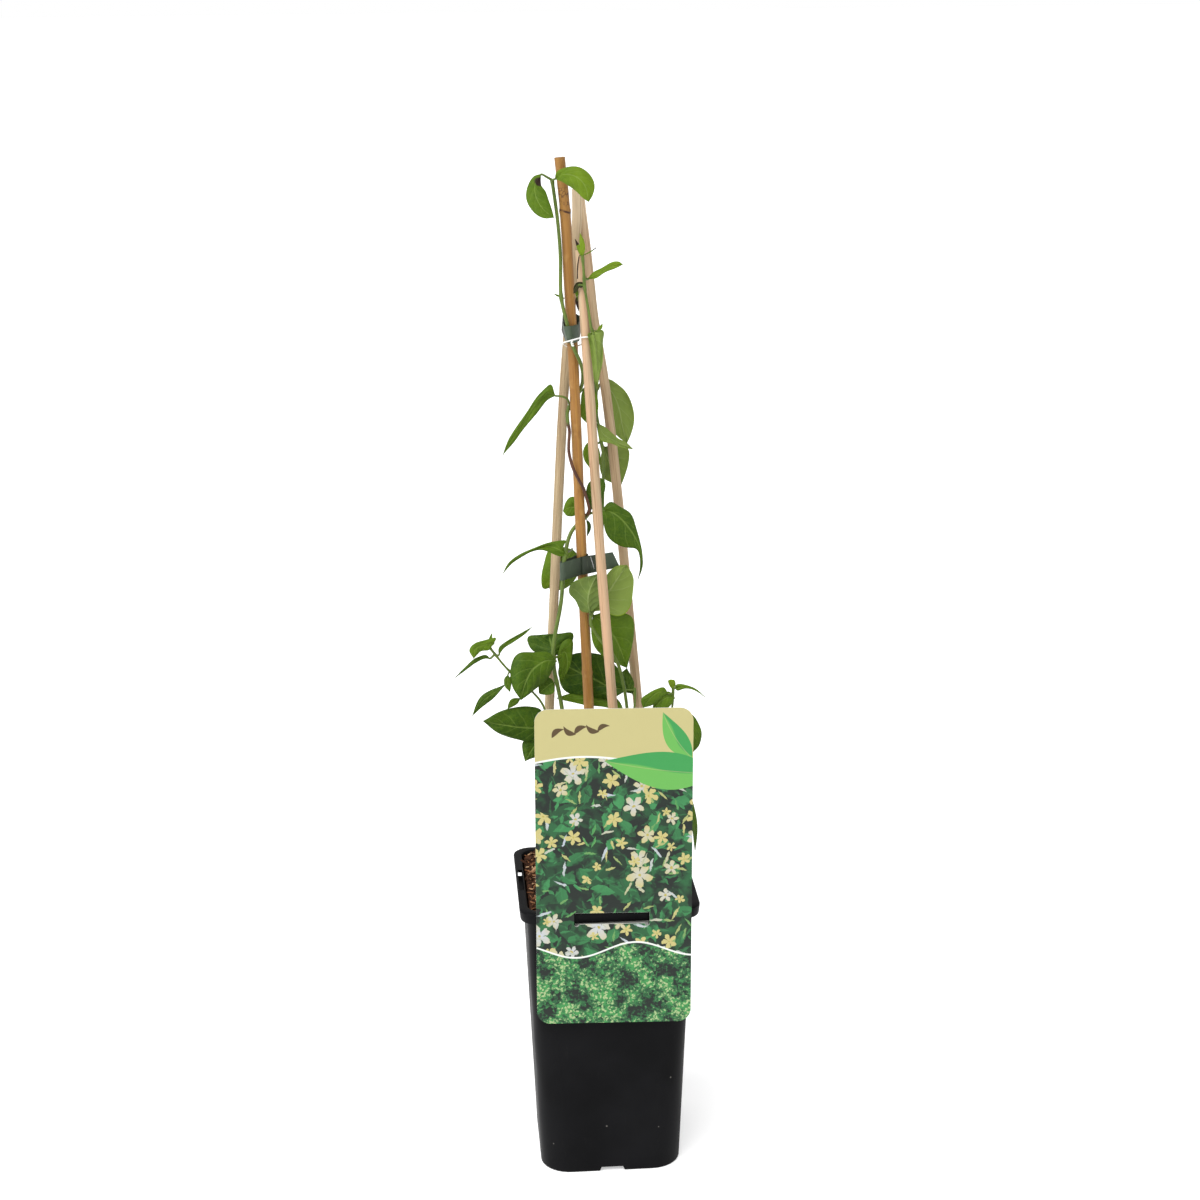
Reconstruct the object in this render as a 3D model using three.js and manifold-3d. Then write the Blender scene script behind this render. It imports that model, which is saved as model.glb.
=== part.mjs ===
// Potted honeysuckle vine: a tapered square nursery pot filled with bark compost, four canes tied
// together above it, a card label hooked on the rim, and five leafy shoots twining up the canes.
// Millimetres, +Z up. The origin is the centre of the pot's base, on the ground.

import * as THREE from 'three';
import { mergeVertices } from 'three/addons/utils/BufferGeometryUtils.js';
import Module from 'manifold-3d';

const wasm = await Module();
wasm.setup();

// ---- driving dimensions ---------------------------------------------------------------------

// Gap kept between pieces that rest on each other.
const CLEAR = 0.3;

// Pot: half widths of the tapered wall, and the turned-down rim round its top.
const POT_HEIGHT = 212.5;
const POT_BASE = 51.6;
const POT_TOP = 59.7;
const POT_WALL = 1.3;
const POT_FLOOR = 1.8;
const POT_CORNER_BASE = 22;
const POT_CORNER_TOP = 11;
const RIM_TOP = 65;
const RIM_FOOT = 63.9;
const RIM_DEPTH = 8;
const RIM_THICK = 1.4;
const RIM_CORNER = 13;
const SLOT_WIDTH = 3.4;
const SLOT_CENTRE = 61.3;
const LABEL_SLOT = 55;
const SIDE_SLOT = 39;
const ARCH_WIDTH = 22;
const ARCH_HEIGHT = 3.6;
const ARCH_REACH = 33;
const DRAIN = 9;

// Compost.
const SOIL_TOP = 209.5;
const SOIL_FLOOR = 2.4;
const CHIP_COUNT = 20;

// Canes: radius and the points along each axis, top first.
const CANES = {
  bamboo: {
    radius: 3.7,
    line: [[-23.9, -0.2, 734], [-14.6, -1, 475], [-5.2, -1.5, 205], [0, -2, 60]],
    nodes: [698, 545, 371],
  },
  left: {
    radius: 3.5,
    line: [[-13.9, 13, 709.5], [-23.7, 18, 565], [-36.7, 24, 342], [-43.5, 27, 215], [-46, 28.5, 110]],
  },
  front: {
    radius: 3.5,
    line: [[-12.5, -13.5, 673], [-7, -20.2, 571], [4.6, -33.2, 359], [13, -42.7, 205], [16, -46.5, 95]],
  },
  right: {
    radius: 3.5,
    line: [[-7.9, 16, 709], [7.1, 20, 564], [27.9, 25, 340], [38.9, 28, 215], [45, 30, 110]],
  },
};

// Label card, upright in front of the rim, with a tongue cut from its window. It leans a little
// in its own plane, and its right end stands a little forward of the rim.
const LABEL = { width: 110, foot: 128, head: 364.6, thick: 0.6, corner: 9.5, x: 2, lean: 0.0087, yaw: 0.035 };
const LABEL_BACK = -(RIM_TOP + CLEAR);
const WINDOW = { width: 53.5, foot: 207.5, head: 215.2, x: 0.5 };
const WINDOW_LOBE = 1.7;

// Ties: bands of tape and one loop of plastic-covered wire.
const TAPE_THICK = 0.7;
const TAPE_GAP = 0.4;

// Leaves.
const LEAF_THICK = 0.7;
const STALK_HALF = 0.6;
const STEM_SIDES = 5;

// ---- mesh helpers ---------------------------------------------------------------------------

// A closed geometry as a solid for joining and cutting.
function solid(geometry) {
  const bare = geometry.clone();
  bare.deleteAttribute('normal');
  bare.deleteAttribute('uv');
  const merged = mergeVertices(bare, 1e-4);
  const vertProperties = new Float32Array(merged.attributes.position.array);
  const triVerts = new Uint32Array(merged.index.array);
  return new wasm.Manifold(new wasm.Mesh({ numProp: 3, vertProperties, triVerts }));
}

// A solid back as a geometry.
function geometryOf(body) {
  const mesh = body.getMesh();
  const geometry = new THREE.BufferGeometry();
  geometry.setAttribute('position', new THREE.BufferAttribute(new Float32Array(mesh.vertProperties), 3));
  geometry.setIndex(new THREE.BufferAttribute(new Uint32Array(mesh.triVerts), 1));
  geometry.computeVertexNormals();
  return geometry;
}

// Geometry from a list of points and a flat list of corner numbers.
function geometryFrom(points, corners) {
  const geometry = new THREE.BufferGeometry();
  const flat = points.flatMap((p) => [p.x, p.y, p.z]);
  geometry.setAttribute('position', new THREE.Float32BufferAttribute(flat, 3));
  geometry.setIndex(corners);
  return geometry;
}

// Closed skin through rings of equal length, each anticlockwise about the way they follow.
function loft(rings) {
  const sides = rings[0].length;
  const points = rings.flat();
  const corners = [];
  for (let i = 0; i + 1 < rings.length; i += 1) {
    for (let j = 0; j < sides; j += 1) {
      const next = (j + 1) % sides;
      const a = i * sides + j;
      const b = i * sides + next;
      const c = a + sides;
      const d = b + sides;
      corners.push(a, b, c, b, d, c);
    }
  }
  const last = (rings.length - 1) * sides;
  const foot = points.push(middle(rings[0])) - 1;
  const head = points.push(middle(rings[rings.length - 1])) - 1;
  for (let j = 0; j < sides; j += 1) {
    const next = (j + 1) % sides;
    corners.push(foot, next, j);
    corners.push(head, last + j, last + next);
  }
  return geometryFrom(points, corners);
}

function middle(ring) {
  const sum = new THREE.Vector3();
  ring.forEach((p) => sum.add(p));
  return sum.divideScalar(ring.length);
}

// Round bar along a curve, with its own radius at each step.
function bar(curve, radiusAt, sides, steps) {
  const frames = curve.computeFrenetFrames(steps, false);
  const rings = [];
  for (let i = 0; i <= steps; i += 1) {
    const t = i / steps;
    const centre = curve.getPointAt(t);
    const radius = radiusAt(t);
    const ring = [];
    for (let j = 0; j < sides; j += 1) {
      const angle = (2 * Math.PI * j) / sides;
      const spoke = frames.normals[i].clone().multiplyScalar(Math.cos(angle) * radius);
      spoke.addScaledVector(frames.binormals[i], Math.sin(angle) * radius);
      ring.push(centre.clone().add(spoke));
    }
    rings.push(ring);
  }
  return loft(rings);
}

// Level square outline with round corners.
function squareRing(half, corner, z, steps = 4, between = 0) {
  const ring = [];
  const inner = half - corner;
  for (let quarter = 0; quarter < 4; quarter += 1) {
    const start = (quarter * Math.PI) / 2;
    const cx = inner * Math.sign(Math.cos(start + Math.PI / 4));
    const cy = inner * Math.sign(Math.sin(start + Math.PI / 4));
    for (let i = 0; i <= steps; i += 1) {
      const angle = start + (i / steps) * (Math.PI / 2);
      ring.push(new THREE.Vector3(cx + corner * Math.cos(angle), cy + corner * Math.sin(angle), z));
    }
    // Extra points along the straight side that follows the corner.
    const last = ring[ring.length - 1];
    const run = new THREE.Vector3(-Math.sin(start + Math.PI / 2), Math.cos(start + Math.PI / 2), 0);
    run.multiplyScalar((2 * inner) / (between + 1));
    for (let i = 1; i <= between; i += 1) {
      ring.push(last.clone().addScaledVector(run, i));
    }
  }
  return ring;
}

// Square tube's core from a list of [half width, corner radius, height].
function squareLoft(levels) {
  return solid(loft(levels.map(([half, corner, z]) => squareRing(half, corner, z))));
}

function box(width, depth, height, x, y, z) {
  const geometry = new THREE.BoxGeometry(width, depth, height);
  geometry.translate(x, y, z);
  return solid(geometry);
}

function curveThrough(points) {
  return new THREE.CatmullRomCurve3(points.map((p) => new THREE.Vector3(...p)), false, 'centripetal');
}

// Small repeatable random numbers.
function randomFrom(seed) {
  let state = seed;
  return () => {
    state = (state * 16807) % 2147483647;
    return state / 2147483647;
  };
}

// ---- canes ----------------------------------------------------------------------------------

// Each cane's axis as short straight lengths along its slight bow, top first.
Object.values(CANES).forEach((cane) => {
  cane.spine = curveThrough(cane.line).getPoints(14);
});

// Centre of a cane at a height, or null above and below it.
function caneAt(cane, z) {
  const spine = cane.spine;
  for (let i = 0; i + 1 < spine.length; i += 1) {
    const upper = spine[i];
    const lower = spine[i + 1];
    if (z <= upper.z && z >= lower.z) {
      const centre = upper.clone().lerp(lower, (upper.z - z) / (upper.z - lower.z));
      return new THREE.Vector2(centre.x, centre.y);
    }
  }
  return null;
}

// Pushes a point sideways until it is the given distance clear of every cane.
function bendClear(point, distance) {
  Object.values(CANES).forEach((cane) => {
    const top = cane.line[0][2];
    const centre = caneAt(cane, Math.min(point.z, top));
    if (centre === null || point.z > top + distance) {
      return;
    }
    const away = new THREE.Vector2(point.x, point.y).sub(centre);
    const reach = cane.radius + distance;
    if (away.length() < reach) {
      away.setLength(reach);
      point.x = centre.x + away.x;
      point.y = centre.y + away.y;
    }
  });
  return point;
}

// Level circle round a cane's axis, anticlockwise seen from above.
function caneRing(cane, z, radius, sides) {
  const centre = caneAt(cane, z);
  const ring = [];
  for (let j = 0; j < sides; j += 1) {
    const angle = (2 * Math.PI * (j + 0.5)) / sides;
    ring.push(new THREE.Vector3(centre.x + radius * Math.cos(angle), centre.y + radius * Math.sin(angle), z));
  }
  return ring;
}

// Cane as level rings from its foot to its head; it stands proud at its nodes' heights.
function caneBody(cane, extra = 0, low = 0) {
  const stations = cane.spine.map((p) => [p.z, cane.radius + extra]);
  (cane.nodes ?? []).forEach((z) => {
    stations.push([z - 3, cane.radius + extra]);
    stations.push([z - 0.9, cane.radius + extra + 0.5]);
    stations.push([z + 0.9, cane.radius + extra + 0.5]);
    stations.push([z + 3, cane.radius + extra]);
  });
  stations.sort((a, b) => a[0] - b[0]);
  const rings = stations.map(([z, radius]) => caneRing(cane, z, radius, 10));
  if (low > 0) {
    rings.unshift(rings[0].map((p) => new THREE.Vector3(p.x, p.y, p.z - low)));
  }
  return solid(loft(rings));
}

// ---- pot ------------------------------------------------------------------------------------

function wallHalf(z) {
  return POT_BASE + ((POT_TOP - POT_BASE) * z) / POT_HEIGHT;
}

// Solid arch along X, from inside the wall to the middle of the base, turned to one of four sides.
function arch(width, height, start, end, turn) {
  const shape = new THREE.Shape();
  const half = width / 2;
  shape.moveTo(-half, -1);
  shape.lineTo(half, -1);
  shape.lineTo(half * 0.84, height * 0.75);
  shape.lineTo(half * 0.62, height);
  shape.lineTo(-half * 0.62, height);
  shape.lineTo(-half * 0.84, height * 0.75);
  shape.closePath();
  const geometry = new THREE.ExtrudeGeometry(shape, { depth: end - start, bevelEnabled: false });
  geometry.rotateX(Math.PI / 2);
  geometry.translate(0, -start, 0);
  geometry.rotateZ(turn);
  return solid(geometry);
}

function drain(x, y, size, sides) {
  const geometry = new THREE.CylinderGeometry(size / 2, size / 2, 20, sides);
  geometry.rotateX(Math.PI / 2);
  geometry.translate(x, y, 0);
  return solid(geometry);
}

function potBody() {
  let body = squareLoft([
    [wallHalf(0) - 0.9, POT_CORNER_BASE, 0],
    [wallHalf(1.2), POT_CORNER_BASE, 1.2],
    [wallHalf(POT_HEIGHT), POT_CORNER_TOP, POT_HEIGHT],
  ]);
  const rim = squareLoft([
    [RIM_FOOT, RIM_CORNER, POT_HEIGHT - RIM_DEPTH],
    [RIM_TOP - 0.3, RIM_CORNER, POT_HEIGHT - 0.5],
    [RIM_TOP - 0.8, RIM_CORNER, POT_HEIGHT],
  ]);
  const under = squareLoft([
    [RIM_FOOT - RIM_THICK, RIM_CORNER - 1, POT_HEIGHT - RIM_DEPTH - 1],
    [RIM_TOP - 0.4 - RIM_THICK, RIM_CORNER - 1, POT_HEIGHT - RIM_THICK],
  ]);
  body = body.add(rim.subtract(under));
  const floorHalf = wallHalf(POT_FLOOR) - POT_WALL;
  const inside = squareLoft([
    [floorHalf - 0.8, POT_CORNER_BASE - 1, POT_FLOOR],
    [wallHalf(POT_FLOOR + 2) - POT_WALL, POT_CORNER_BASE - 1, POT_FLOOR + 2],
    [wallHalf(POT_HEIGHT + 2) - POT_WALL, POT_CORNER_TOP - 1, POT_HEIGHT + 2],
  ]);
  body = body.subtract(inside);
  for (let side = 0; side < 4; side += 1) {
    const turn = (side * Math.PI) / 2;
    const cover = arch(ARCH_WIDTH + 3, ARCH_HEIGHT + 1.4, ARCH_REACH - 15, wallHalf(2) - 0.6, turn);
    body = body.add(cover.intersect(box(140, 140, 20, 0, 0, 10)));
  }
  for (let side = 0; side < 4; side += 1) {
    const turn = (side * Math.PI) / 2;
    body = body.subtract(arch(ARCH_WIDTH, ARCH_HEIGHT, ARCH_REACH - 13.5, wallHalf(2) + 4, turn));
    const along = ARCH_REACH + 4;
    body = body.subtract(drain(along * Math.sin(turn), -along * Math.cos(turn), 7, 8));
    const corner = POT_BASE - 17;
    const cx = corner * Math.SQRT2 * Math.cos(turn + Math.PI / 4);
    const cy = corner * Math.SQRT2 * Math.sin(turn + Math.PI / 4);
    body = body.subtract(drain(cx, cy, DRAIN, 10));
  }
  const front = box(LABEL_SLOT, SLOT_WIDTH, 6, WINDOW.x, -SLOT_CENTRE, POT_HEIGHT);
  const back = box(SIDE_SLOT, SLOT_WIDTH, 6, 0, SLOT_CENTRE, POT_HEIGHT);
  const left = box(SLOT_WIDTH, SIDE_SLOT, 6, -SLOT_CENTRE, 0, POT_HEIGHT);
  const right = box(SLOT_WIDTH, SIDE_SLOT, 6, SLOT_CENTRE, 0, POT_HEIGHT);
  return body.subtract(front).subtract(back).subtract(left).subtract(right);
}

// ---- compost --------------------------------------------------------------------------------

// Height of the uneven compost surface.
function soilHeight(x, y) {
  const waves = 1.1 * Math.sin(x * 0.13 + 1) * Math.cos(y * 0.11) + 0.7 * Math.sin(x * 0.31 + y * 0.23);
  return SOIL_TOP + waves - 0.0006 * (x * x + y * y);
}

function soilBody(shoots) {
  const gap = POT_WALL + CLEAR;
  const rings = [
    squareRing(wallHalf(SOIL_FLOOR) - gap - 1.2, POT_CORNER_BASE - 1.5, SOIL_FLOOR, 2, 4),
    squareRing(wallHalf(5) - gap - 0.2, POT_CORNER_BASE - 1.5, 5, 2, 4),
    squareRing(wallHalf(SOIL_TOP - 8) - gap - 0.2, POT_CORNER_TOP - 1, SOIL_TOP - 8, 2, 4),
  ];
  [56.8, 48, 36, 23, 11].forEach((half) => {
    const ring = squareRing(half, Math.min(POT_CORNER_TOP - 1, half * 0.6), 0, 2, 4);
    ring.forEach((p) => {
      p.z = soilHeight(p.x, p.y) - (half > 56 ? 1.4 : 0);
    });
    rings.push(ring);
  });
  let body = solid(loft(rings));
  const random = randomFrom(7);
  for (let i = 0; i < CHIP_COUNT; i += 1) {
    body = body.add(chip(random));
  }
  for (let side = 0; side < 4; side += 1) {
    const turn = (side * Math.PI) / 2;
    const cover = arch(ARCH_WIDTH + 3.8, ARCH_HEIGHT + 1.8, ARCH_REACH - 15.6, wallHalf(2) + 4, turn);
    body = body.subtract(cover);
  }
  Object.values(CANES).forEach((cane) => {
    body = body.subtract(caneBody({ ...cane, nodes: [] }, CLEAR, CLEAR));
  });
  shoots.forEach(({ stem, radius }) => {
    const [x, y, foot] = stem[0];
    const size = (radius + CLEAR) / Math.cos(Math.PI / 8);
    const hole = new THREE.CylinderGeometry(size, size, 40, 8);
    hole.rotateX(Math.PI / 2);
    hole.translate(x, y, foot + 20 - CLEAR);
    body = body.subtract(solid(hole));
  });
  return body;
}

// One coarse piece of bark, half sunk in the surface.
function chip(random) {
  const x = (random() - 0.5) * 92;
  const y = (random() - 0.5) * 92;
  const geometry = new THREE.BoxGeometry(7 + 8 * random(), 4 + 4 * random(), 3.2);
  geometry.rotateX((random() - 0.5) * 0.7);
  geometry.rotateY((random() - 0.5) * 0.5);
  geometry.rotateZ(random() * Math.PI);
  geometry.translate(x, y, soilHeight(x, y) + 0.6);
  return solid(geometry);
}

// ---- label ----------------------------------------------------------------------------------

// Card upright in the XZ plane, with its window and its tongue hooked into the rim's slot.
function labelBody() {
  const half = LABEL.width / 2;
  const shape = roundedOutline(-half, LABEL.foot, half, LABEL.head, LABEL.corner);
  const geometry = new THREE.ExtrudeGeometry(shape, { depth: LABEL.thick, bevelEnabled: false, curveSegments: 5 });
  geometry.rotateX(Math.PI / 2);
  geometry.translate(LABEL.x, LABEL_BACK, 0);
  const windowHeight = WINDOW.head - WINDOW.foot;
  const hole = box(WINDOW.width, 4, windowHeight, WINDOW.x, LABEL_BACK, WINDOW.foot + windowHeight / 2);
  let card = solid(geometry).subtract(hole);
  [-1, 1].forEach((end) => {
    const lobe = new THREE.CylinderGeometry(WINDOW_LOBE, WINDOW_LOBE, 4, 10);
    const reach = WINDOW.width / 2 - WINDOW_LOBE;
    lobe.translate(WINDOW.x + end * reach, LABEL_BACK, WINDOW.foot);
    card = card.subtract(solid(lobe));
  });
  return card.add(tongueBody()).warp(leanLabel);
}

// Leans the card in its plane and turns it about its left end; the tongue in the slot stays put.
function leanLabel(point) {
  if (point[1] > -63.5) {
    return;
  }
  const [x, y, z] = point;
  point[0] = x + LABEL.lean * (z - (LABEL.foot + LABEL.head) / 2);
  point[1] = y - LABEL.yaw * (x - LABEL.x + LABEL.width / 2);
  point[2] = z - LABEL.lean * (x - LABEL.x);
}

function roundedOutline(x0, y0, x1, y1, corner) {
  const shape = new THREE.Shape();
  shape.moveTo(x0 + corner, y0);
  shape.lineTo(x1 - corner, y0);
  shape.absarc(x1 - corner, y0 + corner, corner, -Math.PI / 2, 0, false);
  shape.lineTo(x1, y1 - corner);
  shape.absarc(x1 - corner, y1 - corner, corner, 0, Math.PI / 2, false);
  shape.lineTo(x0 + corner, y1);
  shape.absarc(x0 + corner, y1 - corner, corner, Math.PI / 2, Math.PI, false);
  shape.lineTo(x0, y0 + corner);
  shape.absarc(x0 + corner, y0 + corner, corner, Math.PI, 1.5 * Math.PI, false);
  return shape;
}

// Strip from the window's top edge, over the ledge and down into the slot, as a bent section.
function tongueBody() {
  const t = LABEL.thick;
  const back = LABEL_BACK;
  const ledge = POT_HEIGHT + CLEAR;
  const inner = -SLOT_CENTRE + t / 2;
  const outer = inner - t;
  const foot = POT_HEIGHT - 13;
  const section = new THREE.Shape();
  section.moveTo(back - t, WINDOW.head + 1.2);
  section.lineTo(back - t, WINDOW.head - 0.9);
  section.lineTo(back - 0.1, ledge + 0.3);
  section.lineTo(outer, ledge);
  section.lineTo(outer, foot);
  section.lineTo(inner, foot);
  section.lineTo(inner, ledge + t);
  section.lineTo(back + 0.9, ledge + t + 0.3);
  section.lineTo(back, WINDOW.head + 0.4);
  section.lineTo(back, WINDOW.head + 1.2);
  section.closePath();
  const width = WINDOW.width - 1;
  const geometry = new THREE.ExtrudeGeometry(section, { depth: width, bevelEnabled: false });
  // The section is drawn in (Y, Z) and pushed along X.
  const turn = new THREE.Matrix4().makeBasis(
    new THREE.Vector3(0, 1, 0),
    new THREE.Vector3(0, 0, 1),
    new THREE.Vector3(1, 0, 0),
  );
  geometry.applyMatrix4(turn);
  geometry.translate(WINDOW.x - width / 2, 0, 0);
  return solid(geometry);
}

// ---- ties -----------------------------------------------------------------------------------

// Outline of a band pulled round a set of circles [x, y, radius].
function around(circles, gap) {
  const points = [];
  circles.forEach(([x, y, radius]) => {
    for (let i = 0; i < 14; i += 1) {
      const angle = (2 * Math.PI * i) / 14;
      points.push([x + (radius + gap) * Math.cos(angle), y + (radius + gap) * Math.sin(angle)]);
    }
  });
  points.sort((a, b) => a[0] - b[0] || a[1] - b[1]);
  const cross = (o, a, b) => (a[0] - o[0]) * (b[1] - o[1]) - (a[1] - o[1]) * (b[0] - o[0]);
  const halfHull = (list) => {
    const hull = [];
    list.forEach((p) => {
      while (hull.length > 1 && cross(hull[hull.length - 2], hull[hull.length - 1], p) <= 0) {
        hull.pop();
      }
      hull.push(p);
    });
    hull.pop();
    return hull;
  };
  const hull = [...halfHull(points), ...halfHull([...points].reverse())];
  return hull.map(([x, y]) => new THREE.Vector2(x, y));
}

// Closed band of the given height round the circles, standing on z.
function band(circles, gap, thick, z, height) {
  const shape = new THREE.Shape(around(circles, gap + thick));
  shape.holes.push(new THREE.Path(around(circles, gap)));
  const geometry = new THREE.ExtrudeGeometry(shape, { depth: height, bevelEnabled: false });
  geometry.translate(0, 0, z);
  return geometry;
}

// Section of a cane at a height as a circle [x, y, radius].
function caneCircle(name, z) {
  const centre = caneAt(CANES[name], z);
  return [centre.x, centre.y, CANES[name].radius];
}

// Sections of the canes at both edges of a band, and of a shoot's stem between them.
function bundle(names, shoot, foot, head) {
  const circles = names.flatMap((name) => [caneCircle(name, foot), caneCircle(name, head)]);
  const curve = stemCurve(shoot.stem, shoot.radius);
  for (let i = 0; i <= 400; i += 1) {
    const point = curve.getPointAt(i / 400);
    if (point.z > foot - 1 && point.z < head + 1) {
      circles.push([point.x, point.y, shoot.radius]);
    }
  }
  return circles;
}

// Tape round the bamboo, the cane behind it and the stem in front of it.
function upperTape() {
  const foot = 610.5;
  const circles = bundle(['bamboo', 'left'], MAIN_SHOOT, foot, foot + 10.5);
  return solid(band(circles, TAPE_GAP, TAPE_THICK, foot, 10.5));
}

// Tape round the bamboo and the stem beside it, its two ends stapled together into a flat tail
// that runs out to the right and is cut off at a slant.
function lowerTape() {
  const foot = 443.5;
  const height = 13;
  const circles = bundle(['bamboo'], MAIN_SHOOT, foot, foot + height);
  const loop = solid(band(circles, TAPE_GAP, TAPE_THICK, foot, height));
  const shape = new THREE.Shape();
  shape.moveTo(-13.5, foot);
  shape.lineTo(12.4, foot + 1.6);
  shape.lineTo(7.5, foot + height);
  shape.lineTo(-13.5, foot + height);
  shape.closePath();
  const tail = new THREE.ExtrudeGeometry(shape, { depth: 1.5, bevelEnabled: false });
  tail.rotateX(Math.PI / 2);
  tail.translate(0, -5.65, 0);
  const slanted = solid(tail).warp((point) => {
    point[1] -= 0.085 * (point[0] + 13);
  });
  return loop.add(slanted).warp((point) => {
    point[2] += 0.15 * (point[0] + 20);
  });
}

// Loop of covered wire round the bamboo, the stem and the front cane, higher at its front.
function wireLoop() {
  const foot = 610;
  const near = [caneCircle('bamboo', foot), caneCircle('front', foot + 6)];
  const stem = bundle([], MAIN_SHOOT, foot - 2, foot + 11).map(([x, y, radius]) => [x, y, radius + 0.7]);
  const geometry = band([...near, ...stem], 0.8, 1, foot - 1, 1);
  const position = geometry.attributes.position;
  for (let i = 0; i < position.count; i += 1) {
    position.setZ(i, position.getZ(i) - 0.42 * (position.getY(i) + 5));
  }
  return solid(geometry);
}

// ---- leafy shoots ---------------------------------------------------------------------------

// Closed sheet between two like grids of points, rows along and columns across.
function sheet(top, bottom, rows, columns) {
  const count = top.length;
  const corners = [];
  for (let i = 0; i + 1 < rows; i += 1) {
    for (let j = 0; j + 1 < columns; j += 1) {
      const a = i * columns + j;
      const b = a + 1;
      const c = a + columns;
      const d = c + 1;
      corners.push(a, b, c, b, d, c);
      corners.push(a + count, c + count, b + count, b + count, c + count, d + count);
    }
  }
  const edge = [];
  for (let j = 0; j < columns; j += 1) edge.push(j);
  for (let i = 1; i < rows; i += 1) edge.push(i * columns + columns - 1);
  for (let j = columns - 2; j >= 0; j -= 1) edge.push((rows - 1) * columns + j);
  for (let i = rows - 2; i > 0; i -= 1) edge.push(i * columns);
  edge.forEach((u, k) => {
    const v = edge[(k + 1) % edge.length];
    corners.push(v, u, u + count, v, u + count, v + count);
  });
  return geometryFrom([...top, ...bottom], corners);
}

// Half width of a blade: a thin stalk, then an egg-shaped outline that ends in a point.
function bladeHalf(t, stalk, width) {
  if (t <= stalk) {
    return STALK_HALF;
  }
  const u = (t - stalk) / (1 - stalk);
  const egg = Math.sin(Math.PI * u ** 0.8) ** 0.75;
  return Math.max(STALK_HALF, (width / 2) * egg);
}

// Leaf along a line of points from its stem to its tip, its upper side towards face.
function leafBody(stemCurve, leaf) {
  const { line, width, face, fold = 0.22, stalk = 0.16, wave = 0.06 } = leaf;
  const root = nearest(stemCurve, new THREE.Vector3(...line[0]));
  const curve = curveThrough([root.toArray(), ...line.slice(1)]);
  const rows = width > 15 ? 7 : 5;
  const across = width > 15 ? 2 : 1;
  const up = new THREE.Vector3(...face).normalize();
  const top = [];
  const bottom = [];
  for (let i = 0; i <= rows; i += 1) {
    const t = rowAt(i, rows, stalk);
    const centre = curve.getPointAt(t);
    const along = curve.getTangentAt(t);
    const side = new THREE.Vector3().crossVectors(along, up).normalize();
    const normal = new THREE.Vector3().crossVectors(side, along).normalize();
    const half = bladeHalf(t, stalk, width);
    for (let j = -across; j <= across; j += 1) {
      const s = j / across;
      const lift = half * Math.abs(s) * (fold + wave * Math.sin(11 * t + 2 * s));
      const point = centre.clone().addScaledVector(side, s * half).addScaledVector(normal, lift);
      if (t > stalk * 0.5) {
        bendClear(point, LEAF_THICK / 2 + 1.2);
      }
      top.push(point.clone().addScaledVector(normal, LEAF_THICK / 2));
      bottom.push(point.clone().addScaledVector(normal, -LEAF_THICK / 2));
    }
  }
  return solid(sheet(top, bottom, rows + 1, 2 * across + 1));
}

// One row at the root, one at the foot of the blade, and the rest spread along the blade.
function rowAt(i, rows, stalk) {
  if (i === 0) {
    return 0;
  }
  return stalk + ((1 - stalk) * (i - 1)) / (rows - 1);
}

function nearest(curve, target) {
  let best = curve.getPointAt(0);
  for (let i = 1; i <= 300; i += 1) {
    const point = curve.getPointAt(i / 300);
    if (point.distanceTo(target) < best.distanceTo(target)) {
      best = point;
    }
  }
  return best;
}

// Stem curve through the points, bent clear of the canes that it twines round.
function stemCurve(points, radius) {
  const rough = curveThrough(points);
  const count = Math.max(6, Math.round(rough.getLength() / 7));
  const bent = rough.getSpacedPoints(count).map((p) => bendClear(p, radius + 0.75));
  return new THREE.CatmullRomCurve3(bent, false, 'centripetal');
}

// Shoot: a tapering stem with a swelling at each leaf joint, and its leaves grown into it.
function shootBody({ stem, radius, tip, leaves, stride = 12 }) {
  const curve = stemCurve(stem, radius);
  const length = curve.getLength();
  const steps = Math.max(8, Math.round(length / stride));
  const taper = (t) => radius + (tip - radius) * t;
  let body = solid(bar(curve, taper, STEM_SIDES, steps));
  leaves.forEach((leaf) => {
    body = body.add(leafBody(curve, leaf));
  });
  return body;
}

// Usual directions of a leaf's upper side.
const FRONT = [-0.1, -0.95, 0.3];
const FRONT_LEFT = [-0.6, -0.7, 0.4];
const FRONT_UP = [-0.1, -0.6, 0.8];
const BACK = [0.1, 0.9, 0.4];

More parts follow.
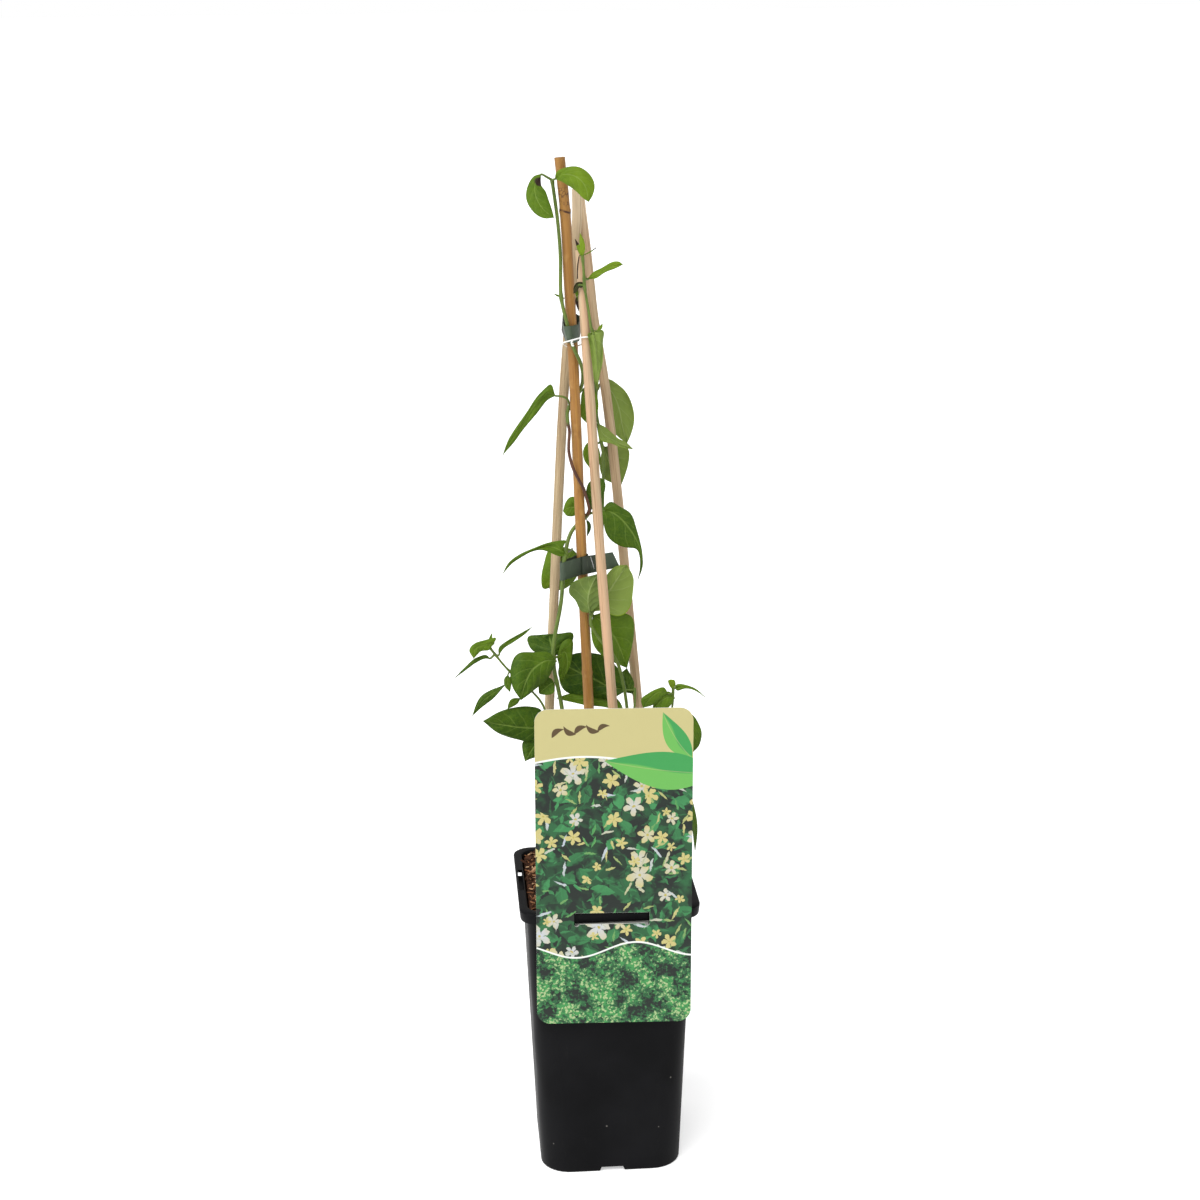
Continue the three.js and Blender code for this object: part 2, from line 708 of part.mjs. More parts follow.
const MAIN_SHOOT = {
  radius: 1.6,
  tip: 1.2,
  stride: 7,
  stem: [
    [-15, -7, 188], [-15, -7, 210], [-15, -7, 215], [-19, -10, 250], [-26, -13, 300], [-30, -13, 349], [-35.5, -11.5, 387],
    [-29, -10, 427], [-26, -9, 458], [-20, 3, 474], [-9, 4, 485], [-8, -5, 500], [-13, -9, 514],
    [-21.5, -6.5, 541], [-21, 3, 563], [-11.5, 4, 576], [-12, -5, 592], [-19, -7, 612], [-24, -6.5, 623],
    [-26.8, -4, 640], [-28.5, -3, 670], [-29.7, -1.7, 719],
  ],
  leaves: [
    { line: [[-29.6, -2, 718], [-36.4, -4, 722], [-40.2, -8, 712], [-30.6, -12, 694.7]], width: 18, face: FRONT_LEFT },
    { line: [[-29, -1.5, 718.8], [-21.5, -13, 724], [-12.3, -16, 720], [-6.5, -17, 705.4]], width: 16, face: FRONT },
    {
      line: [[-21, 3, 564], [-32.2, -5, 575.4], [-39.3, -8, 571], [-47.3, -12, 562.4], [-68.1, -20, 534.8]],
      width: 11,
      face: FRONT_UP,
    },
    { line: [[-21, 4, 564], [-12, 9, 570], [-1, 10, 560], [1, 10, 548]], width: 9, face: FRONT },
    { line: [[-9, 4, 485], [-15, 10, 490], [-22, 12, 494], [-28, 12, 497]], width: 8, face: FRONT },
    { line: [[-9, 4, 487], [-5, 1, 497], [1, -3, 511]], width: 14, face: FRONT },
    {
      line: [[-9, 4, 486], [1.6, -5, 489.8], [13.9, -8, 480.9], [20.8, -9, 473.7], [25.5, -9, 461], [25.7, -7, 438.8]],
      width: 22,
      face: FRONT,
      stalk: 0.12,
    },
    { line: [[-9, 4, 484], [-7, 10, 475], [-9, 13, 465]], width: 6, face: FRONT },
    { line: [[-26, -8.5, 460], [-37.7, -11, 467.2], [-50.5, -15, 467.5], [-70.6, -20, 450.3]], width: 11, face: FRONT_UP },
    { line: [[-25, -8, 461], [-17, 14, 474], [-22, 32, 460], [-41, 34, 430]], width: 22, face: FRONT, stalk: 0.24 },
    { line: [[-35, -11, 386], [-40, -16, 388], [-52, -25, 378], [-61, -31, 360]], width: 26, face: FRONT },
    { line: [[-35, -11, 387], [-36, -3, 400], [-33, 0, 388], [-28.8, -2, 365.8]], width: 28, face: FRONT },
    { line: [[-35, -11, 388], [-42, -2, 397], [-54, 6, 399]], width: 10, face: FRONT },
    { line: [[-32, -12, 368], [-38, -15, 367], [-46, -17, 361]], width: 13, face: FRONT },
    { line: [[-24, -12, 288], [-32, -6, 298], [-39, -3, 290], [-43, -1, 276]], width: 18, face: [-0.3, 0, 0.9] },
    { line: [[-24, -12, 288], [-20, 4, 298], [-20, 16, 290], [-20, 32, 272]], width: 18, face: [0, 0.3, 0.9] },
  ],
};

const RIGHT_SHOOT = {
  radius: 1.3,
  tip: 0.9,
  stride: 8,
  stem: [
    [6, -9, 188], [6, -9, 210], [6, -9, 215], [12, -15, 260], [16, -20, 310], [16, -21, 350], [9, -17, 384],
    [-3, -15, 400], [-9, -13, 413], [-4, -9, 424], [0, -6, 440], [1.5, 2, 480], [3, 8, 509], [3.5, 14, 528],
    [1, 16, 542], [-0.5, 16, 556], [-1, 13, 572], [-3, 8, 586], [-4, 1, 597], [-3.5, -8, 608],
    [-3, -12, 618], [-4, -11, 632], [-5, -12, 643], [-6.5, -17, 651], [-9.5, -20, 663], [-10.5, -20, 670],
    [-12.5, -18, 684],
  ],
  leaves: [
    { line: [[-9, -13, 413], [-13, -13, 424], [-18, -13, 440]], width: 20, face: BACK },
    { line: [[-8.2, -13, 415], [0.3, -13, 429], [9.6, -14, 442], [17.5, -14, 454]], width: 30, face: BACK, fold: 0.1 },
    { line: [[-7.5, -12, 414], [2.7, -8, 414], [10.7, -4, 391], [15.7, -2, 368]], width: 28, face: FRONT },
    { line: [[3, 14, 528], [4, 8, 545], [12, 5, 546], [23, 0, 535]], width: 8, face: FRONT_UP },
    { line: [[3, 15, 530], [5, 26, 535], [12, 30, 522], [17, 30, 500]], width: 18, face: FRONT },
    { line: [[2.5, 12, 524], [-4, 11, 530], [-10, 11, 520]], width: 11, face: FRONT },
    { line: [[-1, 13, 572], [1, 25, 581], [13, 32, 571], [21, 34, 533]], width: 22, face: [0.5, 0.8, 0.4] },
    { line: [[-3, -12, 617], [-3, -22, 621], [-1, -24, 603], [-2, -21, 580]], width: 13, face: FRONT, stalk: 0.1 },
    { line: [[-5, -12, 644], [-3, -17, 653], [5, -20, 661], [16, -21, 664]], width: 9, face: FRONT_UP },
    { line: [[-6, -14, 648], [-13, -20, 653], [-17, -20, 640]], width: 7, face: FRONT },
    { line: [[-10, -20, 670], [-15, -21, 675], [-15, -20, 684]], width: 5, face: FRONT },
    { line: [[-12, -18.5, 678], [-13, -18, 684], [-14, -17, 691]], width: 5, face: FRONT, stalk: 0.05 },
    { line: [[-10, -20, 671], [-6, -21, 673], [-2, -22, 676]], width: 1.4, face: FRONT_UP },
    { line: [[13, -17, 282], [22, -32, 292], [27, -52, 278]], width: 17, face: [0, -0.3, 0.9] },
    { line: [[13, -17, 282], [26, -11, 292], [40, -7, 284], [52, -3, 268]], width: 15, face: [0.3, 0, 0.9] },
  ],
};

const LEFT_SHOOT = {
  radius: 0.95,
  tip: 0.75,
  stem: [
    [-23, -17, 188], [-23, -17, 210], [-23, -17, 215], [-31, -19, 262], [-40, -19, 320], [-43, -18, 351], [-55, -21, 368],
    [-69, -25, 383], [-81, -28, 400],
  ],
  leaves: [
    { line: [[-43, -18, 345], [-54, -24, 352], [-72, -32, 350], [-87, -38, 348]], width: 23, face: FRONT },
    { line: [[-42, -18, 336], [-48, -23, 330], [-57, -28, 313]], width: 11, face: FRONT },
    { line: [[-68, -25, 382], [-78, -31, 374], [-94, -39, 355]], width: 10, face: FRONT_UP },
    { line: [[-66, -25, 380], [-67, -29, 376], [-68, -32, 368]], width: 5, face: FRONT },
    { line: [[-50, -20, 361], [-58, -27, 362], [-68, -31, 356]], width: 6, face: FRONT },
    { line: [[-80, -28, 398], [-87, -32, 406], [-97, -37, 398]], width: 12, face: FRONT_UP },
    { line: [[-79, -28, 396], [-89, -31, 393], [-105, -33, 382]], width: 7, face: FRONT_UP },
    { line: [[-76, -27, 393], [-66, -22, 401], [-51, -16, 410]], width: 6, face: FRONT_UP },
    { line: [[-80, -28, 399], [-80, -29, 405], [-79, -29, 410]], width: 3, face: FRONT, stalk: 0.05 },
    { line: [[-33, -19, 270], [-38, -24, 278], [-42, -30, 262]], width: 12, face: FRONT_UP },
  ],
};

const SIDE_SHOOT = {
  radius: 0.95,
  tip: 0.75,
  stem: [[15, -18, 188], [15, -18, 210], [15, -18, 215], [26, -22, 262], [40, -24, 318], [48, -25, 350], [48.5, -26.5, 366]],
  leaves: [
    { line: [[48, -25, 357], [40, -31, 363], [27, -38, 357]], width: 14, face: FRONT_UP },
    { line: [[48, -25, 350], [38, -23, 356], [24, -22, 352]], width: 11, face: FRONT_UP },
    { line: [[48, -26, 362], [46, -27, 368], [46, -28, 375]], width: 4, face: FRONT, stalk: 0.05 },
    { line: [[48, -26, 361], [58, -31, 367], [71, -35, 359]], width: 7, face: FRONT_UP },
    { line: [[46, -25, 343], [62.2, -30, 347.5], [66.8, -34, 333], [63.4, -38, 318]], width: 16, face: [0.5, -0.5, 0.6] },
    { line: [[36, -23, 302], [50, -38, 300], [60, -50, 274], [61, -54, 252]], width: 9, face: [0.6, -0.5, 0.5] },
    { line: [[36, -23, 302], [47, -14, 312], [58, -6, 300]], width: 18, face: [0.3, 0, 0.9] },
  ],
};

const BACK_SHOOT = {
  radius: 1,
  tip: 0.8,
  stem: [[5, 10, 188], [5, 10, 210], [5, 10, 215], [12, 9, 262], [19, 7, 312], [24, 4, 345], [24, 5, 356]],
  leaves: [
    {
      line: [[24, 4, 344], [7, 8, 355], [-6.4, 11, 362.5], [-18.4, 14, 369.5], [-29, 15, 378.6]],
      width: 27,
      face: FRONT,
      stalk: 0.3,
    },
    { line: [[24, 5, 352], [22, 10, 362], [23, 15, 376]], width: 12, face: FRONT },
    { line: [[22, 5, 332], [6, 10, 344], [-14, 11, 347], [-32, 11, 348]], width: 14, face: FRONT_UP },
    { line: [[15, 8, 286], [15, 22, 298], [17, 38, 292], [20, 54, 274]], width: 17, face: [0.1, 0.4, 0.9] },
    { line: [[14, 8, 284], [0, 22, 293], [-12, 36, 288], [-18, 50, 270]], width: 17, face: [-0.1, 0.4, 0.9] },
  ],
};

// ---- assembly -------------------------------------------------------------------------------

function part(name, body, color, roughness, metalness = 0) {
  const material = new THREE.MeshStandardMaterial({ color, roughness, metalness });
  const mesh = new THREE.Mesh(geometryOf(body), material);
  mesh.name = name;
  return mesh;
}

const SHOOTS = [MAIN_SHOOT, RIGHT_SHOOT, LEFT_SHOOT, SIDE_SHOOT, BACK_SHOOT];

const plant = new THREE.Group();
plant.name = 'potted_honeysuckle';
plant.add(part('pot', potBody(), 0x1e1e20, 0.45));
plant.add(part('soil', soilBody(SHOOTS), 0x4a3524, 0.95));
plant.add(part('bamboo_cane', caneBody(CANES.bamboo), 0xb8823c, 0.5));
plant.add(part('cane_left', caneBody(CANES.left), 0xd7b491, 0.75));
plant.add(part('cane_front', caneBody(CANES.front), 0xd7b491, 0.75));
plant.add(part('cane_right', caneBody(CANES.right), 0xcfae8e, 0.75));
plant.add(part('tie_upper', upperTape(), 0x4b6450, 0.55));
plant.add(part('tie_lower', lowerTape(), 0x37463c, 0.55));
plant.add(part('tie_wire', wireLoop(), 0xf0f0ee, 0.4));
plant.add(part('label', labelBody(), 0xdcd296, 0.35));
plant.add(part('shoot_main', shootBody(MAIN_SHOOT), 0x4f8a2a, 0.5));
plant.add(part('shoot_right', shootBody(RIGHT_SHOOT), 0x5a9430, 0.5));
plant.add(part('shoot_left', shootBody(LEFT_SHOOT), 0x6aa336, 0.5));
plant.add(part('shoot_side', shootBody(SIDE_SHOOT), 0x5d9632, 0.5));
plant.add(part('shoot_back', shootBody(BACK_SHOOT), 0x2c5a22, 0.5));

export default plant;
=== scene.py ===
"""Potted honeysuckle vine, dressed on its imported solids.

A tapered square nursery pot with bark compost, a bamboo cane and three pale canes tied together
above it, a printed card hooked on the rim and five leafy shoots twining up the canes.
Lengths in the lists below are millimetres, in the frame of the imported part.
"""

import contextlib
import math
import random

import bmesh
import bpy
from mathutils import Color, Matrix, Vector, noise
from mathutils.kdtree import KDTree


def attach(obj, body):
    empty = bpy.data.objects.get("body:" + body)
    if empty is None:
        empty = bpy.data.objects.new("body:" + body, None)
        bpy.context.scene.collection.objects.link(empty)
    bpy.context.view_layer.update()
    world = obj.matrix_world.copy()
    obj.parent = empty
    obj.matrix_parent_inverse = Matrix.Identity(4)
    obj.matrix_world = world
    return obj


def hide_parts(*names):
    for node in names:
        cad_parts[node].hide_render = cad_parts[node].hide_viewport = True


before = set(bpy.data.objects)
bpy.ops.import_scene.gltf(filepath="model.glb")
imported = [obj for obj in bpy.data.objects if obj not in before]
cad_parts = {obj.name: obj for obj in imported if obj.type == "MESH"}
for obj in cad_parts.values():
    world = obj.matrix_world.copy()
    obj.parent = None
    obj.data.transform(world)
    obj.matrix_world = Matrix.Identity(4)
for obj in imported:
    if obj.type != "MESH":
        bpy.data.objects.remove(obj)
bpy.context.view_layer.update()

bl_info = {
    "name": "Potted Honeysuckle",
    "version": (1, 0, 0),
    "blender": (4, 5, 0),
    "location": "View3D > Sidebar > Honeysuckle",
    "description": "Builds a potted honeysuckle vine with its canes, ties and label",
    "category": "Add Mesh",
}

MM = 0.001

# ---- where things stand -----------------------------------------------------------------------

CANES = {
    "bamboo": {
        "slot": "bamboo", "node": "bamboo_cane", "radius": 3.7, "tint": 0.0, "rings": [698, 371],
        "line": [(-24.9, -0.2, 734), (-21.7, -0.2, 697.5), (-19.8, -0.4, 650.7), (-18, -0.6, 610.2),
            (-16.7, -0.8, 568.4), (-14, -1, 475), (-5.2, -1.5, 205), (0, -2, 60)],
    },
    "left": {
        "slot": "pale_cane", "node": "cane_left", "radius": 3.5, "tint": 0.0, "rings": [],
        "line": [(-12.6, 12.8, 711.5), (-12.9, 13.5, 690), (-19.4, 16, 615), (-23.7, 18, 565),
            (-36.7, 24, 342), (-43.5, 27, 215), (-46, 28.5, 110)],
    },
    "front": {
        "slot": "pale_cane", "node": "cane_front", "radius": 3.35, "tint": 1.0, "rings": [],
        "line": [(-12.7, -13.5, 673), (-10.9, -16, 637), (-7.6, -20.2, 571), (-2.3, -26.5, 465),
            (4.6, -33.2, 359), (13, -42.7, 205), (16, -46.5, 95)],
    },
    "right": {
        "slot": "pale_cane", "node": "cane_right", "radius": 3.5, "tint": 0.55, "rings": [],
        "line": [(-10.8, 19.5, 709), (-5.4, 19.6, 660), (-1.6, 19.8, 622), (7.1, 20, 564),
            (27.9, 25, 340), (38.9, 28, 215), (45, 30, 110)],
    },
}

# Ways that a leaf's upper side faces.
FRONT = (-0.1, -0.95, 0.3)
FRONT_UP = (-0.1, -0.6, 0.8)


def blade(mid, left, right, **more):
    """A leaf given by its midrib and its two edges, from foot to tip."""
    return {"mid": mid, "left": left, "right": right, **more}


def blade_on_line(line, width, face, **more):
    """A plainer leaf given by its midrib, its width and the way it faces."""
    return {"line": line, "width": width, "face": face, **more}


# Each leaf's tone is partly its age and partly painted light and shade: shaded leaves have low tones, lit
# ones high.
MAIN_LEAVES = [
    blade([(-37.8, -4, 723.3), (-42.1, -7, 717), (-41.7, -9, 708.6), (-37.2, -11, 700.7),
      (-30, -12, 695)], [(-37.7, -6, 715.5), (-35.4, -7, 712.9), (-33, -9, 706.4), (-31.1, -10.5, 699.9)],
      [(-43.2, -4, 721.8), (-47.5, -5, 714.3), (-48.1, -7, 705.9), (-43.3, -9, 698), (-36.6, -11, 694.4)],
      tone=0.42, stalk=[(-30.3, -2, 718.4), (-33.8, -3, 721.2)], dry=(-39.6, -5, 717.9, 3.4)),
    blade([(-28.7, -8, 720.2), (-22.2, -13, 723.9), (-14.3, -16, 722), (-9.1, -17, 716),
      (-6.9, -16.5, 705.4)], [(-27.7, -11, 725.4), (-20, -12, 728.6), (-12, -13, 728.3),
      (-5.4, -14, 723.6), (-2.4, -15, 717.1), (-4.1, -16, 709.2)], [(-24.2, -11, 718.5),
      (-19.6, -13, 715.8), (-14.4, -14.5, 711.6), (-10.6, -16, 708)], tone=0.62,
      stalk=[(-30.3, -2, 718.4)]),
    blade([(-30.9, -7, 572.7), (-35.8, -8, 575.7), (-42.8, -10, 570), (-50.8, -13, 560.2),
      (-60.2, -17, 547.3), (-68.1, -20, 534.8)], [(-36.5, -7, 569.3), (-43, -9.5, 562.2),
      (-50.9, -13, 553.9), (-60.1, -17, 543.1)], [(-31.9, -7.5, 577.6), (-33.3, -8, 581.9),
      (-37.7, -8, 578.5), (-43.5, -9, 573.3), (-49.2, -11, 564.7), (-57.1, -15, 555.2),
      (-64.3, -18, 544.8)], tone=0.36, stalk=[(-20.7, 3, 564.2), (-23.2, -5, 570.7),
      (-27.5, -6.5, 572.4)]),
    blade([(-5.5, 9, 576.9), (-7.6, 10, 567.6), (-7.8, 10, 559.1), (-6.4, 10, 548.5)], [(-0.6, 10, 569.5),
      (-0.1, 10, 557.5)], [(-11.2, 8, 572.3), (-12.3, 8, 563.1), (-12.1, 9, 554.5)], tone=0.5,
      stalk=[(-20.7, 4, 564.1), (-14, 8, 571)]),
    blade([(-13.6, 10, 486.8), (-18.4, 11, 489.6), (-22.6, 11.5, 488.9), (-25.5, 12, 486.7)],
      [(-17.8, 11, 483), (-22.7, 11.5, 483.1)], [(-14.1, 10, 495.6), (-19.7, 11, 497.3),
      (-23.6, 11.5, 493.3)], tone=0.5, stalk=[(-9.1, 4, 485.2)]),
    blade([(-7, 2, 488.5), (-4.3, 0, 496.1), (-1.6, -2, 504.4), (0.6, -3, 513.1)], [(-9.1, 1, 497.4),
      (-9.8, 0, 504.2), (-7.1, -2, 510.9)], [(0, 0, 496), (3.4, -2, 503.5), (3.4, -3, 510.2)], tone=0.15),
    blade([(0.9, -5, 490.6), (7.1, -7, 489.4), (13.3, -8.5, 486.1), (19.4, -9, 478.8), (24.4, -9, 470.6),
      (27.9, -8.5, 460.3), (28.3, -7.5, 449.9), (25.4, -7, 438.9)], [(4.8, -5, 495.6), (7.4, -5, 497.2),
      (13.5, -6, 492.7), (21.2, -6.5, 488.3), (24.2, -7, 479.7), (27, -7.5, 470.3), (28.7, -7.5, 460),
      (29.3, -7.3, 449.7)], [(1.5, -5, 482), (4.2, -5, 471.8), (10.5, -5.5, 465.9), (17.5, -6, 462.9),
      (25.2, -7, 462.6), (26.9, -7.5, 457.2), (27.2, -7.2, 448.3)], tone=0.2, stalk=[(-7.7, 3, 486.1)]),
    blade_on_line([(-9.9, 4, 483.6), (-7.4, 7, 476.5), (-8.7, 9, 468.8)], 3, FRONT, tone=0.1),
    blade_on_line([(-26.6, -4, 640.4), (-28.3, -5, 641.7), (-30.1, -6, 642.8)], 1.3, FRONT),
    blade_on_line([(-25.5, -4, 640.4), (-24.2, -3, 639.5), (-22.8, -2.5, 639.3)], 1.1, FRONT),
    blade([(-24.3, -9, 460.5), (-30.7, -10.5, 464.7), (-39.1, -11.5, 467), (-47.6, -13, 465.4),
      (-57, -16, 461.8), (-64.2, -18, 457.5), (-70.2, -20, 450.3)], [(-29.4, -10, 459.1),
      (-35.7, -11, 462.1), (-42, -12, 464.7), (-48.5, -13.5, 464.6), (-57, -16, 460.7),
      (-64.1, -18, 456.5)], [(-27.4, -9, 465.6), (-23.5, -8.5, 470.5), (-31.9, -9.5, 470.3),
      (-41.2, -11, 468.8), (-49, -13, 466.2), (-58.4, -16, 462.6), (-65.6, -18, 458.2)], tone=0.36),
    blade([(-19.2, 16, 457.8), (-22.4, 26, 447.2), (-27.9, 32, 435.4), (-35.2, 35, 424.3)],
      [(-14.8, 20, 451.5), (-14.3, 30, 434.8), (-20, 34, 425.6), (-27.3, 35, 422.6)], [(-27.3, 26, 457),
      (-35, 31, 454.5), (-39, 32, 443.2), (-41, 33, 431.8), (-39.6, 34, 424)], tone=0.5,
      stalk=[(-24.3, -8, 461), (-20.6, 6, 459.6)]),
    blade([(-33.6, -15, 384.1), (-42.4, -20, 385.9), (-51.2, -25, 381), (-56.5, -29, 372.3),
      (-59.6, -31, 361.1)], [(-37.4, -17, 375.9), (-44.1, -21, 368.6), (-51.5, -26, 365.2)],
      [(-38.5, -15, 390.9), (-50.6, -18, 392.2), (-61.4, -22, 393.1), (-66.3, -25, 383.9),
      (-65.7, -29, 371.1)], tone=0.24),
    blade([(-32.6, -9, 385.3), (-26.6, -5, 387.6), (-25.2, -4, 376.8), (-29.8, -5, 363.8)],
      [(-27.8, -4, 395.5), (-21.6, -2, 397), (-20.7, -2, 386.5), (-23.8, -3, 374.9)], [(-31.5, -7, 379.3),
      (-31.8, -6, 371.6)], tone=0.4),
    blade([(-35.4, -8, 385.8), (-35.6, -2, 390), (-36.8, 2, 394), (-37.4, 3, 398.9)], [(-43.6, -1, 384.7),
      (-50.2, 2, 387.7), (-53.1, 5, 397.4), (-45.1, 5, 397.9)], [(-27.8, -1, 385.6), (-21.8, 1, 390.8),
      (-19.8, 3, 399.9), (-28.7, 4, 399.1)], tone=0.08),
    blade_on_line([(-32, -12, 368), (-38, -15, 367), (-46, -17, 361)], 13, FRONT),
    blade_on_line([(-24, -12, 288), (-32, -6, 298), (-39, -3, 290), (-43, -1, 276)], 18, (-0.3, 0, 0.9)),
    blade_on_line([(-24, -12, 288), (-20, 4, 298), (-20, 16, 290), (-20, 32, 272)], 18, (0, 0.3, 0.9)),
]
RIGHT_LEAVES = [
    blade([(-9, -14, 418.4), (-10.4, -15.5, 426.9), (-9, -16.5, 435.8), (-4, -17, 447.4)],
      [(-3.5, -16, 423.9), (1.5, -17.5, 432.9), (2.2, -18, 441.7)], [(-15.4, -14, 420),
      (-19.5, -14.5, 428.4), (-23.7, -15, 432.3), (-22.9, -15.5, 440.4), (-14.6, -16.5, 444.7)],
      tone=0.35),
    blade([(-7.5, -12, 418.5), (0.4, -12, 428.5), (8.2, -13, 439.5), (17.5, -13, 452.3)],
      [(-0.5, -13, 419.4), (6.5, -14, 416.4), (12.9, -14.5, 415.2), (19.2, -14.5, 420.5),
      (21.4, -14.5, 431.5), (22, -14, 443.8)], [(-3, -10, 429.6), (1.5, -10, 441.1), (5.7, -11, 448.5),
      (11.3, -12, 451.9)], tone=0.85),
    blade([(-6.6, -9, 415.5), (2.1, -7, 407.3), (10.7, -5, 393.7), (17.9, -3, 373.5)], [(4.2, -8, 417.7),
      (14.3, -6, 416.2), (22.3, -4, 411.7), (23.4, -3, 400.2), (21.6, -2.5, 389)], [(-8.1, -10, 406.2),
      (-6.8, -9, 393.3), (-0.3, -7, 384.3), (7.6, -5, 378.9)], tone=0.4),
    blade([(0.3, 7, 549.6), (2.9, 5, 542.8), (9.2, 4, 538.9), (16, 2, 536), (23.5, 0, 532.6)],
      [(-0.5, 5, 543.5), (1.4, 4, 538), (8.3, 3, 536.3), (15.2, 1, 533.7)], [(4.6, 8, 547.1),
      (9.5, 8, 543.1), (14.2, 6, 538.7), (18.9, 3, 537)], tone=0.7),
    blade([(5.1, 26, 529.3), (8.1, 29, 519.1), (12.4, 30, 509.4), (17, 30, 499)], [(2.7, 28, 521.7),
      (2.4, 29, 512), (5.2, 30, 505.1), (10.3, 30, 502.5)], [(15.3, 28, 530.8), (23.2, 29, 526.8),
      (22.9, 30, 516.4), (20.3, 30, 506.9)], tone=0.6),
    blade([(-0.8, 12, 534.4), (-5.2, 11, 528.9), (-6, 11, 521.8), (-3.2, 11, 513.1)], [(1.2, 12, 528.5),
      (1.1, 12, 520)], [(-7.3, 11, 536.1), (-10.8, 11, 530.5), (-10.2, 11, 523.4), (-6.8, 11, 518.2)],
      tone=0.55),
    blade([(4.8, 25, 575.3), (11.5, 29, 568), (16.6, 32, 555.9), (18.7, 33, 543.4), (22.3, 34, 530.1)],
      [(4.2, 27, 565), (6, 29, 553.8), (10, 31, 543.3), (15.8, 33, 534.8)], [(8.5, 26, 578.3),
      (15, 28, 574.3), (22.2, 30, 566.9), (26.6, 32, 556.4), (27.7, 33, 546.8), (25.5, 34, 536.5)],
      tone=0.88),
    blade([(-5.3, -23, 618.1), (-3.6, -25.5, 610.2), (-2.6, -26, 600), (-2.4, -25.5, 590.3),
      (-2.7, -24, 580.6)], [(-9.3, -24, 618), (-7.9, -24.5, 611.6), (-7, -25, 604.1), (-6, -25, 595.9),
      (-5.1, -24.5, 586.8)], [(-1.9, -22, 620.6), (2.8, -21.5, 619.1), (2.4, -22, 612.2),
      (2.1, -22.5, 606.2), (1.1, -23, 597.5), (-0.9, -23.5, 588.6)], tone=0.9, pleats=0.14),
    blade([(-7.8, -16, 653.8), (-1.2, -18, 657.6), (7.5, -20, 662), (15.6, -21, 663.7)],
      [(-4.9, -15.5, 657.8), (1.6, -18, 661.5), (8.9, -20, 665.7), (12.9, -21, 665.8)],
      [(-2.5, -18, 654.3), (4.1, -20, 658.7), (10.8, -21, 661.2)], tone=0.68),
    blade([(-10.2, -20, 649.5), (-13.6, -21, 650.7), (-15.9, -20.5, 648.4), (-17.9, -19, 644.6)],
      [(-12.1, -20, 652.1), (-15.8, -20.5, 652.1), (-17.8, -20, 648.8)], [(-12.6, -21.5, 648.8),
      (-14.5, -21, 648.5), (-16.1, -20, 645.4)], tone=0.2, dry=0.56, pleats=0.3),
    blade_on_line([(-10.7, -20.5, 669.9), (-13.4, -19, 670.1), (-14.3, -19, 667), (-15, -19.5, 661.1),
      (-15.1, -19.5, 654.4)], 0.9, FRONT, dry=1.0),
    blade([(-11.6, -20, 669.1), (-11.3, -21, 674.7), (-11.9, -21, 680), (-13.1, -20, 685.2)],
      [(-13.2, -20, 674.6), (-13.5, -20, 680.6)], [(-9.9, -21, 673.9), (-10.5, -21, 680)], tone=0.8),
    blade([(-11.9, -20, 669.1), (-13.9, -20, 672.5), (-15.2, -20, 676.5), (-16.5, -20, 681.3)],
      [(-14.3, -20, 672.3), (-15.6, -20, 676.5)], [(-12.5, -20, 673.9), (-13.9, -20, 677.9)], tone=0.75,
      dry=(-15.9, -20, 679.2, 2.4)),
    blade_on_line([(-9.9, -20, 671.3), (-6.9, -21, 672.3), (-2.3, -22, 675.5)], 1, FRONT_UP,
      dry=(-2.2, -22, 675.5, 2.5)),
    blade_on_line([(13, -17, 282), (22, -32, 292), (27, -52, 278)], 17, (0, -0.3, 0.9)),
    blade_on_line([(13, -17, 282), (26, -11, 292), (40, -7, 284), (52, -3, 268)], 15, (0.3, 0, 0.9)),
    blade([(-15.1, -17, 647.4), (-14.8, -17, 643.9), (-14.4, -16, 639)], [(-13.1, -17, 644.6)],
      [(-17.1, -17, 646.7), (-16.2, -17, 642.6)], tone=0.4, stalk=[(-10.6, -21.5, 649.7),
      (-13.2, -21.5, 651), (-15.4, -20.5, 650)]),
    blade([(-15, -10, 642.3), (-14.7, -10, 636.9), (-14.1, -10, 631.3)], [(-12.6, -10, 638.9)],
      [(-16.4, -10, 638.2)], tone=0.3, stalk=[(-10.6, -21.5, 649.7), (-13.2, -21.5, 651),
      (-15.4, -20.5, 650)], dry=1.0),
    blade([(-2.6, -23, 619.4), (-0.5, -23, 621.4), (1.3, -23, 624.4)], [(-1.5, -23, 622.1)],
      [(0.9, -23, 621)], tone=0.6),
]
